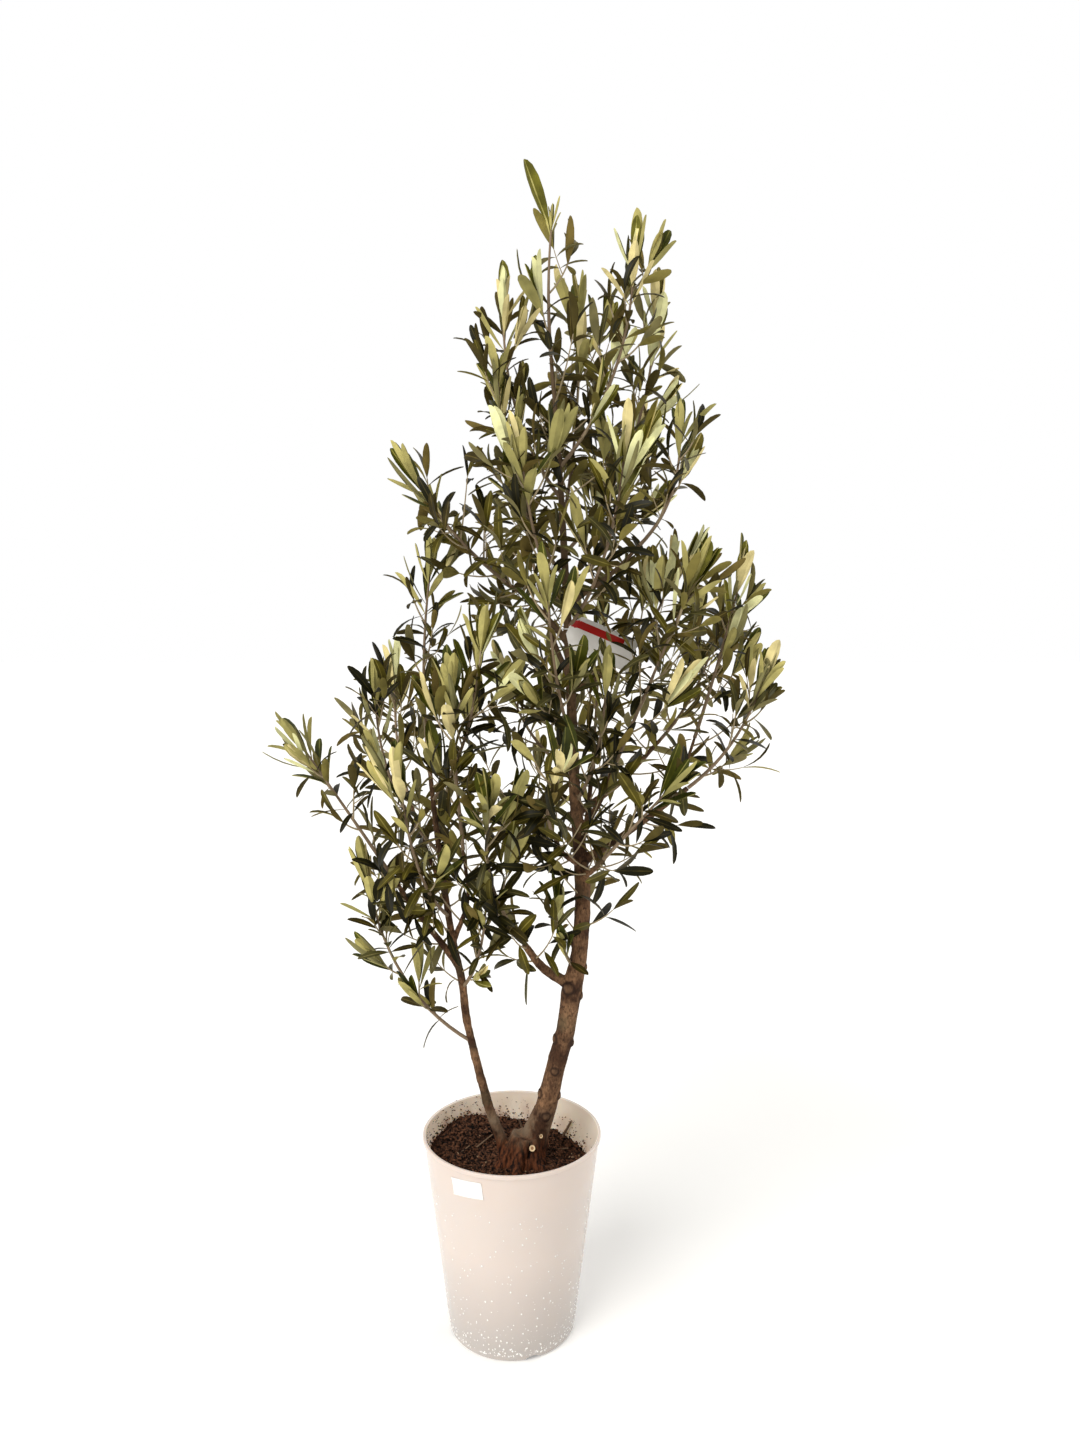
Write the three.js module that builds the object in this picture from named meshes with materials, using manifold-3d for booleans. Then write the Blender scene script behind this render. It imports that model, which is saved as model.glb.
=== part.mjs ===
// Potted olive tree, two stems from one stump in a white plastic nursery pot.
// Millimetres, +Z up, origin at the centre of the pot's flat underside.
// The view in front of the tree looks along +Y, with +X to the right.
import * as THREE from 'three';
import { mergeVertices } from 'three/addons/utils/BufferGeometryUtils.js';
import Module from 'manifold-3d';

const wasm = await Module();
wasm.setup();

// Driving dimensions of the pot, soil, label and tag
const clearance = 0.3;
const pot = {
  rimRadius: 120, baseRadius: 86, height: 268, wall: 2.5, floor: 3,
  lip: 1.4, lipHeight: 5, heel: 5, segments: 32,
};
const notch = { count: 4, width: 22, height: 6, depth: 18, turn: -70, sides: 20 };
const soil = {
  level: 224, flatRadius: 48, blend: 30, middleRadius: 72, shoulder: 12,
  slope: -0.12, backRise: 0.05, heap: 9, heapX: -62, heapY: 78, heapSpread: 36,
  crumb: 1.6, crumbAcross: 0.21, crumbAlong: 0.17, crumbSkew: 0.05,
};
const label = { width: 44, height: 23, thickness: 0.4, centre: 242, turn: -118, tilt: -5, steps: 8 };
const tag = {
  height: 944, length: 92, width: 44, thickness: 0.8, slope: -23,
  ring: 1.1, slack: 0.2, ringSides: 4, ringSteps: 12,
};

// Driving dimensions of the limbs: bends are [x, y, z], thickness is [height, radius]
const trunk = {
  bends: [
    [20, 2, 214], [32, 2, 262], [46, 0, 300], [60, -1, 360], [72, -2, 405], [81, -4, 466],
    [90, -2, 510], [94, 0, 560], [95, 4, 600], [92, 6, 640], [83, 4, 746], [79, 0, 851],
    [64, -4, 1135], [52, -2, 1290],
  ],
  thickness: [
    [214, 24], [245, 20.5], [262, 18], [282, 15.8], [300, 14.4], [340, 13.2], [430, 12.6],
    [462, 14], [476, 13.4], [500, 11.4], [600, 10.2], [625, 10.6], [645, 9], [746, 7.6],
    [851, 6.6], [1135, 3.9], [1290, 2.6],
  ],
  sides: 9, steps: 26,
};
const stump = { x: 14, y: -4, width: 66, depth: 46, rise: 27, sides: 12, rows: 8 };
const ground = { width: 400, depth: 100 };
const secondStem = {
  bends: [
    [-6, 0, 226], [-17, 0, 262], [-30, 0, 296], [-41, 0, 337], [-51, -2, 379], [-61, -4, 428],
    [-66, -6, 476], [-80, -8, 545], [-96, -6, 660], [-108, -4, 770],
  ],
  thickness: [[226, 9.4], [262, 7.6], [296, 6.6], [337, 5.8], [385, 5.5], [474, 5.3], [660, 4], [770, 3]],
  sides: 8, steps: 16,
};

// Boughs: each leaves its parent at a height, passes its bend and ends where its foliage begins.
// At is that height on the parent and root is the radius there.
const boughs = [
  { name: 'fork_left', from: 'trunk', at: 469, bend: [43, -10, 495], tip: [17, -20, 531], root: 7.4 },
  { name: 'whorl_left', from: 'trunk', at: 630, bend: [69, -30, 653], tip: [58, -45, 675], root: 4.4 },
  { name: 'low_right', from: 'trunk', at: 616, bend: [108, -22, 631], tip: [120, -37, 648], root: 5 },
  { name: 'right_outer', from: 'trunk', at: 634, bend: [162, -2, 682], tip: [233, 0, 735], root: 5.6 },
  { name: 'right_inner', from: 'trunk', at: 668, bend: [117, -8, 720], tip: [132, -15, 758], root: 5 },
  { name: 'right_middle', from: 'right_outer', at: 716, bend: [233, 20, 765], tip: [246, 32, 798], root: 3.4 },
  { name: 'middle_right', from: 'trunk', at: 866, bend: [106, 8, 875], tip: [133, 16, 893], root: 4 },
  { name: 'right_shoulder', from: 'trunk', at: 975, bend: [128, -8, 1013], tip: [166, -12, 1051], root: 4 },
  { name: 'left_shoulder', from: 'trunk', at: 925, bend: [33, -8, 974], tip: [-6, -14, 1004], root: 4 },
  { name: 'back_low', from: 'trunk', at: 652, bend: [104, 62, 688], tip: [112, 110, 745], root: 4.8 },
  { name: 'back_high', from: 'trunk', at: 880, bend: [58, 44, 925], tip: [38, 90, 999], root: 4 },
  { name: 'back_right', from: 'trunk', at: 700, bend: [150, 62, 735], tip: [209, 110, 788], root: 4.8 },
  { name: 'left_low', from: 'second_stem', at: 500, bend: [-127, -20, 579], tip: [-154, -30, 624], root: 4.6 },
  { name: 'left_thin', from: 'second_stem', at: 530, bend: [-56, -32, 593], tip: [-60, -50, 663], root: 3.6 },
  { name: 'left_back', from: 'second_stem', at: 600, bend: [-116, 42, 640], tip: [-147, 100, 703], root: 3.8 },
];
const boughTaper = 0.62;
const boughSides = 6;
const boughSteps = 4;

// Foliage: each stem grows on from a bough's tip, or from a stem at a height, to its own tip.
// Reach is how far its leaf tips stand from the stem, and bare is where its leaves and twigs stop
// below the tuft.
const masses = [
  { name: 'leader', from: 'trunk', tip: [52, 0, 1446], reach: 92, seed: 1, bare: 0.5 },
  { name: 'top_right', from: 'trunk', at: 1150, tip: [155, -25, 1398], reach: 92, seed: 2 },
  { name: 'top_left', from: 'trunk', at: 1110, tip: [-9, 5, 1348], reach: 84, seed: 3 },
  { name: 'upper_right', from: 'trunk', at: 1040, tip: [190, 40, 1356], reach: 84, seed: 4 },
  { name: 'upper_left', from: 'trunk', at: 1010, tip: [-14, -30, 1249], reach: 82, seed: 5 },
  { name: 'upper_front', from: 'trunk', at: 960, tip: [17, -115, 1138], reach: 96, seed: 6 },
  { name: 'upper_back', from: 'trunk', at: 1080, tip: [92, 90, 1370], reach: 110, seed: 7 },
  { name: 'right_shoulder', from: 'right_shoulder', tip: [216, -15, 1188], reach: 82, seed: 8 },
  { name: 'left_shoulder', from: 'left_shoulder', tip: [-112, -40, 1119], reach: 90, seed: 9 },
  { name: 'upper_right_front', from: 'trunk', at: 945, tip: [137, -110, 1139], reach: 96, seed: 10 },
  { name: 'upper_right_back', from: 'trunk', at: 990, tip: [174, 130, 1212], reach: 105, seed: 11 },
  { name: 'upper_left_back', from: 'back_high', tip: [8, 180, 1164], reach: 110, seed: 12 },
  { name: 'middle_front', from: 'trunk', at: 800, tip: [47, -145, 973], reach: 96, seed: 13 },
  { name: 'middle_right', from: 'middle_right', tip: [211, 50, 1011], reach: 92, seed: 14 },
  { name: 'right_inner', from: 'right_inner', tip: [226, -50, 994], reach: 100, seed: 15 },
  { name: 'right_middle', from: 'right_middle', tip: [300, 20, 1000], reach: 90, seed: 16 },
  { name: 'far_right', from: 'right_outer', tip: [322, -20, 868], reach: 84, seed: 17 },
  { name: 'right_back', from: 'back_right', tip: [299, 190, 930], reach: 115, seed: 18 },
  { name: 'middle_back', from: 'back_low', tip: [129, 210, 960], reach: 115, seed: 19 },
  { name: 'left_middle', from: 'second_stem', tip: [-105, 0, 1014], reach: 84, seed: 20 },
  { name: 'left_inner', from: 'second_stem', at: 720, tip: [-36, -75, 917], reach: 92, seed: 21 },
  { name: 'left_outer', from: 'second_stem', at: 650, tip: [-175, -15, 846], reach: 90, seed: 22 },
  { name: 'far_left', from: 'left_low', tip: [-262, -35, 787], reach: 76, seed: 23 },
  { name: 'lower_left', from: 'second_stem', at: 392, tip: [-183, -45, 620], reach: 70, seed: 24 },
  { name: 'left_front', from: 'second_stem', at: 565, tip: [-127, -125, 745], reach: 92, seed: 25 },
  { name: 'centre_left', from: 'fork_left', tip: [-22, -120, 723], reach: 96, seed: 26 },
  { name: 'centre_low', from: 'whorl_left', tip: [64, -125, 773], reach: 92, seed: 27 },
  { name: 'low_right', from: 'low_right', tip: [188, -110, 743], reach: 92, seed: 28 },
  { name: 'left_back', from: 'left_back', tip: [-178, 180, 871], reach: 110, seed: 29 },
  { name: 'back_centre', from: 'trunk', at: 675, tip: [-21, 150, 705], reach: 110, seed: 30 },
  { name: 'left_thin', from: 'left_thin', tip: [-73, -80, 856], reach: 90, seed: 31 },
  { name: 'inner_right', from: 'trunk', at: 715, tip: [120, -60, 867], reach: 86, seed: 32 },
  { name: 'fork_sprout', from: 'trunk', at: 490, tip: [59, -25, 582], reach: 48, seed: 33 },
  { name: 'stem_sprout', from: 'second_stem', at: 468, tip: [-31, -55, 593], reach: 62, seed: 34 },
  { name: 'inner_left', from: 'trunk', at: 755, tip: [-2, 30, 864], reach: 96, seed: 35 },
];

// The growth rule for stems: their section, how steeply they leave the trunk and how far they bow
const stemRule = { radius: 3.1, tipRadius: 2, sides: 3, steps: 5, leaving: 0.7, bow: 0.5, points: 12 };

// The growth rule for twigs: where they stand, how far they turn, open, run and lift
const twigRule = {
  radius: 2.3, tipRadius: 1.6, sides: 3, steps: 2,
  spacing: 34, fewest: 3, keep: 2, start: 0.12, span: 0.8, jitter: 0.1,
  turn: 2.4, turnSpread: 0.5, openLow: 35, openHigh: 55,
  margin: 42, shortest: 20, longLow: 0.7, longHigh: 1.5, full: 1.1, fade: 0.45, run: 0.8, lift: 0.3,
};

// The growth rule for leaves: opposite pairs that close up towards the tip, and a tuft at the tip
const leafRule = {
  length: 96, lengthLow: 0.8, lengthHigh: 1.1, width: 0.26, thickness: 2.2, root: 0.5, droop: 0.08,
  start: 0.2, gap: 74, offset: 0.3, openLow: 78, openHigh: 36, openPower: 1.5, turnSpread: 0.35,
  stemTuft: 4, twigTuft: 2, tuftGap: 6, tuftOpenLow: 12, tuftOpenHigh: 30, tuftSpread: 0.3,
  fullReach: 92, smallest: 0.55, furthest: 0.995, room: 0.5,
};

// Surface colours
const bark = { color: 0x6e5542, roughness: 0.85, metalness: 0 };
const barkYoung = { color: 0x82705a, roughness: 0.8, metalness: 0 };
const foliage = { color: 0x7d7a44, roughness: 0.55, metalness: 0 };
const plastic = { color: 0xece6da, roughness: 0.35, metalness: 0 };
const earth = { color: 0x2c1d14, roughness: 1, metalness: 0 };
const paper = { color: 0xf7f6f2, roughness: 0.6, metalness: 0 };

const up = new THREE.Vector3(0, 0, 1);
const triangleHeight = 1.5;
const triangleSide = Math.sqrt(3);
const group = new THREE.Group();

// Solids: a closed geometry becomes a solid, and a solid becomes a named mesh
function solidOf(geometry) {
  geometry.deleteAttribute('normal');
  geometry.deleteAttribute('uv');
  const merged = mergeVertices(geometry);
  const index = merged.index.array;
  const triangles = [];
  for (let i = 0; i < index.length; i += 3) {
    const [a, b, c] = [index[i], index[i + 1], index[i + 2]];
    if (a !== b && b !== c && c !== a) triangles.push(a, b, c);
  }
  return new wasm.Manifold(new wasm.Mesh({
    numProp: 3,
    vertProperties: new Float32Array(merged.attributes.position.array),
    triVerts: new Uint32Array(triangles),
  }));
}

function addPart(name, solid, look) {
  const mesh = solid.getMesh();
  const geometry = new THREE.BufferGeometry();
  geometry.setAttribute('position', new THREE.BufferAttribute(new Float32Array(mesh.vertProperties), 3));
  geometry.setIndex(new THREE.BufferAttribute(new Uint32Array(mesh.triVerts), 1));
  geometry.computeVertexNormals();
  const part = new THREE.Mesh(geometry, new THREE.MeshStandardMaterial(look));
  part.name = name;
  group.add(part);
}

function largestBody(solid) {
  return solid.decompose().sort((a, b) => b.volume() - a.volume())[0];
}

// A repeatable stream of numbers between low and high
function seededRandom(seed) {
  let state = (seed * 7919) % 2147483647;
  return (low, high) => {
    state = (state * 16807) % 2147483647;
    return low + ((high - low) * state) / 2147483647;
  };
}

// A round limb that tapers along a curve
function taperedTube(curve, radiusAt, sides, steps) {
  const geometry = new THREE.CylinderGeometry(1, 1, 1, sides, steps);
  const frames = curve.computeFrenetFrames(steps, false);
  const position = geometry.attributes.position;
  for (let i = 0; i < position.count; i += 1) {
    const share = position.getY(i) + 0.5;
    const row = Math.round(share * steps);
    const centre = curve.getPointAt(share);
    const radius = radiusAt(share, centre);
    const vertex = centre
      .addScaledVector(frames.normals[row], position.getX(i) * radius)
      .addScaledVector(frames.binormals[row], -position.getZ(i) * radius);
    position.setXYZ(i, vertex.x, vertex.y, vertex.z);
  }
  return solidOf(geometry);
}

function bentCurve(points) {
  const bends = points.map((point) => new THREE.Vector3(...point));
  return new THREE.CatmullRomCurve3(bends, false, 'catmullrom', 0.5);
}

function thicknessAt(table, height) {
  const last = table.length - 1;
  if (height <= table[0][0]) return table[0][1];
  if (height >= table[last][0]) return table[last][1];
  const above = table.findIndex(([level]) => level > height);
  const [lowLevel, lowRadius] = table[above - 1];
  const [highLevel, highRadius] = table[above];
  return THREE.MathUtils.mapLinear(height, lowLevel, highLevel, lowRadius, highRadius);
}

function shareAtHeight(curve, height) {
  let low = 0;
  let high = 1;
  for (let i = 0; i < 24; i += 1) {
    const middle = (low + high) / 2;
    if (curve.getPointAt(middle).z < height) low = middle;
    else high = middle;
  }
  return low;
}

// Pot: a tapered shell with a thin lip, a rounded heel and arched drainage notches
function outerRadius(height) {
  return THREE.MathUtils.mapLinear(height, pot.heel, pot.height, pot.baseRadius, pot.rimRadius - pot.lip);
}

function revolved(profile) {
  const points = profile.map(([radius, height]) => new THREE.Vector2(radius, height));
  const geometry = new THREE.LatheGeometry(points, pot.segments);
  geometry.rotateX(Math.PI / 2);
  return geometry;
}

function makePot() {
  const { rimRadius, baseRadius, height, wall, floor, lip, lipHeight, heel } = pot;
  const innerRim = rimRadius - lip - wall;
  const profile = [
    [0, 0],
    [baseRadius - heel, 0],
    [baseRadius - heel * 0.3, heel * 0.3],
    [baseRadius, heel],
    [outerRadius(height - lipHeight - lip), height - lipHeight - lip],
    [rimRadius, height - lipHeight],
    [rimRadius, height],
    [innerRim, height],
    [baseRadius - wall, heel],
    [baseRadius - wall - heel * 0.5, floor],
    [0, floor],
  ];
  let solid = solidOf(revolved(profile));
  for (let i = 0; i < notch.count; i += 1) {
    const cut = new THREE.CylinderGeometry(notch.width / 2, notch.width / 2, notch.depth, notch.sides);
    cut.scale(1, 1, (2 * notch.height) / notch.width);
    cut.translate(0, baseRadius - notch.depth / 2 + wall, 0);
    cut.rotateZ(THREE.MathUtils.degToRad(notch.turn + (360 / notch.count) * i - 90));
    solid = solid.subtract(solidOf(cut));
  }
  return solid;
}

// Soil: fills the pot, flat under the stump and sloping unevenly to the wall
function soilRise(x, y) {
  const radius = Math.hypot(x, y);
  const edge = THREE.MathUtils.smoothstep(radius, soil.flatRadius, soil.flatRadius + soil.blend);
  const fromHeap = Math.hypot(x - soil.heapX, y - soil.heapY) / soil.heapSpread;
  const heap = soil.heap * Math.exp(-fromHeap * fromHeap);
  const along = Math.cos(y * soil.crumbAlong + x * soil.crumbSkew);
  const crumbs = soil.crumb * Math.sin(x * soil.crumbAcross) * along;
  return edge * (soil.slope * x + soil.backRise * y + heap + crumbs);
}

function makeSoil() {
  const bottom = pot.floor + clearance;
  const top = soil.level - clearance;
  const innerRadius = (height) => outerRadius(height) - pot.wall - clearance;
  const wallSlope = innerRadius(1) - innerRadius(0);
  const profile = [
    [0, bottom],
    [innerRadius(bottom) - pot.heel, bottom],
    [innerRadius(pot.heel * 2), pot.heel * 2],
    [innerRadius(top), top],
    [innerRadius(top) - soil.shoulder, top],
    [soil.middleRadius, top],
    [soil.flatRadius, top],
    [0, top],
  ];
  const geometry = revolved(profile);
  const position = geometry.attributes.position;
  for (let i = 0; i < position.count; i += 1) {
    const [x, y, z] = [position.getX(i), position.getY(i), position.getZ(i)];
    if (z < top - 1) continue;
    const rise = soilRise(x, y);
    const radius = Math.hypot(x, y);
    const follow = radius > innerRadius(top) - 1 ? (radius + wallSlope * rise) / radius : 1;
    position.setXYZ(i, x * follow, y * follow, z + rise);
  }
  return solidOf(geometry);
}

// Label: a plain paper sticker that follows the pot's wall under the rim
function makeLabel() {
  const geometry = new THREE.BoxGeometry(label.width, label.height, label.thickness, label.steps, 2, 1);
  const tilt = THREE.MathUtils.degToRad(label.tilt);
  const position = geometry.attributes.position;
  for (let i = 0; i < position.count; i += 1) {
    const [x, y] = [position.getX(i), position.getY(i)];
    const across = x * Math.cos(tilt) + y * Math.sin(tilt);
    const height = label.centre - x * Math.sin(tilt) + y * Math.cos(tilt);
    const radius = outerRadius(height) + clearance + label.thickness / 2 + position.getZ(i);
    const angle = THREE.MathUtils.degToRad(label.turn) + across / outerRadius(label.centre);
    position.setXYZ(i, radius * Math.cos(angle), radius * Math.sin(angle), height);
  }
  return solidOf(geometry);
}

// Trunk: a leaning, tapering stem on a flared stump, cut flat at ground level
const trunkCurve = bentCurve(trunk.bends);
const secondCurve = bentCurve(secondStem.bends);

function aboveGround(solid) {
  const below = new THREE.BoxGeometry(ground.width, ground.width, ground.depth);
  below.translate(0, 0, soil.level - ground.depth / 2);
  return solid.subtract(solidOf(below));
}

function makeTrunk(extra) {
  const radiusAt = (share, centre) => thicknessAt(trunk.thickness, centre.z) + extra;
  const stem = taperedTube(trunkCurve, radiusAt, trunk.sides, trunk.steps);
  const flare = new THREE.SphereGeometry(1, stump.sides, stump.rows);
  flare.rotateX(Math.PI / 2);
  flare.scale(stump.width / 2 + extra, stump.depth / 2 + extra, stump.rise + extra);
  flare.translate(stump.x, stump.y, soil.level);
  return aboveGround(stem.add(solidOf(flare)));
}

function makeSecondStem(extra) {
  const radiusAt = (share, centre) => thicknessAt(secondStem.thickness, centre.z) + extra;
  const stem = taperedTube(secondCurve, radiusAt, secondStem.sides, secondStem.steps);
  return aboveGround(stem.subtract(makeTrunk(clearance)));
}

// Limbs: solids by name, with their curves and a slightly grown copy that cuts their children
const limbs = {
  trunk: { curve: trunkCurve, solid: makeTrunk(0), grown: makeTrunk(clearance) },
  second_stem: { curve: secondCurve, solid: makeSecondStem(0), grown: makeSecondStem(clearance) },
};

function makeBough(bough) {
  const parent = limbs[bough.from];
  const foot = parent.curve.getPointAt(shareAtHeight(parent.curve, bough.at));
  const curve = bentCurve([foot.toArray(), bough.bend, bough.tip]);
  const tube = (extra) => {
    const radiusAt = (share) => bough.root * (1 - (1 - boughTaper) * share) + extra;
    return taperedTube(curve, radiusAt, boughSides, boughSteps);
  };
  return { curve, solid: tube(0).subtract(parent.grown), grown: tube(clearance) };
}

for (const bough of boughs) {
  limbs[bough.name] = makeBough(bough);
}

// Tag: a blank card that hangs from a ring round the trunk
function makeTag() {
  const share = shareAtHeight(trunkCurve, tag.height);
  const centre = trunkCurve.getPointAt(share);
  const hold = thicknessAt(trunk.thickness, tag.height) + clearance + tag.ring + tag.slack;
  const ring = new THREE.TorusGeometry(hold, tag.ring, tag.ringSides, tag.ringSteps);
  const turned = new THREE.Quaternion().setFromUnitVectors(up, trunkCurve.getTangentAt(share));
  ring.applyQuaternion(turned);
  ring.translate(centre.x, centre.y, centre.z);
  const card = new THREE.BoxGeometry(tag.length, tag.thickness, tag.width);
  card.translate(tag.length / 2, 0, -tag.width / 2 + tag.ring);
  card.rotateY(THREE.MathUtils.degToRad(-tag.slope));
  card.translate(centre.x, centre.y - hold, centre.z);
  return solidOf(ring).add(solidOf(card));
}

const tagSolid = makeTag();

// Growth: each mass keeps the pieces that touch nothing that has already grown
const grownPieces = [];

function boxesMeet(a, b) {
  return [0, 1, 2].every((axis) => a.min[axis] < b.max[axis] && b.min[axis] < a.max[axis]);
}

function register(owner, shoot, solid) {
  grownPieces.push({ owner, shoot, solid, box: solid.boundingBox() });
}

function touches(solid, isOwn) {
  const box = solid.boundingBox();
  return grownPieces.some((piece) => {
    if (isOwn(piece) || !boxesMeet(box, piece.box)) return false;
    const shared = solid.intersect(piece.solid);
    const touching = !shared.isEmpty();
    shared.delete();
    return touching;
  });
}

function distanceToCurve(points, point) {
  const line = new THREE.Line3();
  const nearest = new THREE.Vector3();
  let best = Infinity;
  for (let i = 1; i < points.length; i += 1) {
    line.set(points[i - 1], points[i]);
    line.closestPointToPoint(point, true, nearest);
    best = Math.min(best, nearest.distanceTo(point));
  }
  return best;
}

function sideways(direction, angle) {
  const reference = Math.abs(direction.y) < 0.8 ? new THREE.Vector3(0, 1, 0) : new THREE.Vector3(1, 0, 0);
  const first = new THREE.Vector3().crossVectors(direction, reference).normalize();
  const second = new THREE.Vector3().crossVectors(direction, first);
  return first.multiplyScalar(Math.cos(angle)).addScaledVector(second, Math.sin(angle));
}

function opened(along, aside, degrees) {
  const angle = THREE.MathUtils.degToRad(degrees);
  return along.clone().multiplyScalar(Math.cos(angle)).addScaledVector(aside, Math.sin(angle)).normalize();
}

// The point on a tube's own straight-sided centre line, so that what grows there is sunk in it
function pointOnTube(curve, share, steps) {
  const row = Math.min(Math.floor(share * steps), steps - 1);
  const from = curve.getPointAt(row / steps);
  return from.lerp(curve.getPointAt((row + 1) / steps), share * steps - row);
}

// Leaf: a thin keeled blade of six faces, its root sunk past the twig's centre.
// Its middle section is a triangle, which sets how the circle round it is scaled.
function leafSolid(root, direction, along, length, extra) {
  const upper = along.clone().addScaledVector(direction, -along.dot(direction)).normalize();
  const across = new THREE.Vector3().crossVectors(upper, direction);
  const geometry = new THREE.SphereGeometry(1, 3, 2);
  geometry.rotateZ(Math.PI / 2);
  const deep = leafRule.thickness / triangleHeight + extra;
  const wide = (length * leafRule.width) / triangleSide + extra;
  geometry.scale(length / 2, deep, wide);
  geometry.rotateX(Math.PI / 2);
  geometry.translate(length / 2 - leafRule.root, 0, 0);
  const position = geometry.attributes.position;
  for (let i = 0; i < position.count; i += 1) {
    const share = position.getX(i) / length;
    position.setZ(i, position.getZ(i) - leafRule.droop * length * share * share);
  }
  geometry.applyMatrix4(new THREE.Matrix4().makeBasis(direction, across, upper).setPosition(root));
  return solidOf(geometry);
}

function stemCurveOf(mass) {
  const parent = limbs[mass.from];
  const tip = new THREE.Vector3(...mass.tip);
  const share = mass.at === undefined ? 1 : shareAtHeight(parent.curve, mass.at);
  const foot = parent.curve.getPointAt(share);
  const start = parent.curve.getTangentAt(share);
  if (mass.at === undefined) {
    foot.addScaledVector(start, clearance);
  } else {
    const level = new THREE.Vector3(tip.x - foot.x, tip.y - foot.y, 0).divideScalar(tip.distanceTo(foot));
    start.subVectors(tip, foot).normalize().multiplyScalar(stemRule.leaving).add(level).normalize();
  }
  const control = foot.clone().addScaledVector(start, tip.distanceTo(foot) * stemRule.bow);
  return new THREE.QuadraticBezierCurve3(foot, control, tip);
}

function twigCurves(mass, stem) {
  const random = seededRandom(mass.seed);
  const length = stem.getLength();
  const count = Math.max(twigRule.fewest, Math.floor(length / twigRule.spacing));
  const room = Math.max(mass.reach - twigRule.margin, twigRule.shortest);
  const twigs = [];
  for (let i = 0; i < count; i += 1) {
    const place = i + random(twigRule.jitter, 1 - twigRule.jitter);
    const share = twigRule.start + (twigRule.span * place) / count;
    const turn = i * twigRule.turn + random(-twigRule.turnSpread, twigRule.turnSpread) + mass.seed;
    const open = random(twigRule.openLow, twigRule.openHigh);
    const fade = twigRule.full - twigRule.fade * share;
    const long = room * random(twigRule.longLow, twigRule.longHigh) * fade;
    const foot = pointOnTube(stem, share, stemRule.steps);
    const along = stem.getTangentAt(share);
    const start = opened(along, sideways(along, turn), open);
    if (share > (mass.bare ?? 1)) continue;
    const tip = foot.clone().addScaledVector(start, long * twigRule.run);
    tip.addScaledVector(up, long * twigRule.lift);
    const control = foot.clone().addScaledVector(start, foot.distanceTo(tip) * stemRule.bow);
    twigs.push(new THREE.QuadraticBezierCurve3(foot, control, tip));
  }
  return twigs;
}

function leavesOn(curve, random, firstTurn, size, tuft, bare) {
  const leafy = 1 - leafRule.start;
  const count = Math.max(1, Math.round((curve.getLength() * leafy) / leafRule.gap));
  const leaves = [];
  for (let i = 0; i < count; i += 1) {
    const share = leafRule.start + (leafy * (i + leafRule.offset)) / count;
    if (share > bare) break;
    const open = THREE.MathUtils.lerp(leafRule.openLow, leafRule.openHigh, share ** leafRule.openPower);
    for (const side of [0, Math.PI]) {
      const spread = random(-leafRule.turnSpread, leafRule.turnSpread);
      leaves.push({ share, turn: firstTurn + i * (Math.PI / 2) + side + spread, open });
    }
  }
  for (let i = 0; i < tuft; i += 1) {
    const spread = random(-leafRule.tuftSpread, leafRule.tuftSpread);
    const turn = firstTurn + (i * 2 * Math.PI) / tuft + spread;
    const open = random(leafRule.tuftOpenLow, leafRule.tuftOpenHigh);
    leaves.push({ share: 1 - (i * leafRule.tuftGap) / curve.getLength(), turn, open });
  }
  return leaves.map((leaf) => {
    const length = leafRule.length * random(leafRule.lengthLow, leafRule.lengthHigh) * size;
    return { ...leaf, length };
  });
}

function growMass(mass, stem) {
  const random = seededRandom(mass.seed + 100);
  const size = THREE.MathUtils.clamp(mass.reach / leafRule.fullReach, leafRule.smallest, 1);
  const stemPoints = stem.getPoints(stemRule.points);
  const shoots = [stem];
  twigCurves(mass, stem).forEach((twig, i) => {
    if (i % twigRule.keep !== 0) return;
    const radiusAt = (share) => THREE.MathUtils.lerp(twigRule.radius, twigRule.tipRadius, share);
    const roomAt = (share) => radiusAt(share) + leafRule.room;
    const room = taperedTube(twig, roomAt, twigRule.sides, twigRule.steps);
    if (touches(room, (piece) => piece.owner === mass.name)) return;
    mass.pieces.push(taperedTube(twig, radiusAt, twigRule.sides, twigRule.steps));
    register(mass.name, shoots.length, room);
    shoots.push(twig);
  });
  shoots.forEach((shoot, number) => {
    const steps = number === 0 ? stemRule.steps : twigRule.steps;
    const ownShoot = (piece) => piece.owner === mass.name && piece.shoot === number;
    const tuft = number === 0 ? leafRule.stemTuft : leafRule.twigTuft;
    const bare = number === 0 ? mass.bare ?? 1 : 1;
    for (const leaf of leavesOn(shoot, random, random(0, 2 * Math.PI), size, tuft, bare)) {
      const share = Math.min(leaf.share, leafRule.furthest);
      const root = pointOnTube(shoot, share, steps);
      const along = shoot.getTangentAt(share);
      const direction = opened(along, sideways(along, leaf.turn), leaf.open);
      const tip = root.clone().addScaledVector(direction, leaf.length);
      if (distanceToCurve(stemPoints, tip) > mass.reach) continue;
      const room = leafSolid(root, direction, along, leaf.length, leafRule.room);
      if (touches(room, ownShoot)) continue;
      mass.pieces.push(leafSolid(root, direction, along, leaf.length, 0));
      register(mass.name, number, room);
    }
  });
  return largestBody(mass.pieces.reduce((whole, piece) => whole.add(piece)));
}

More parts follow.
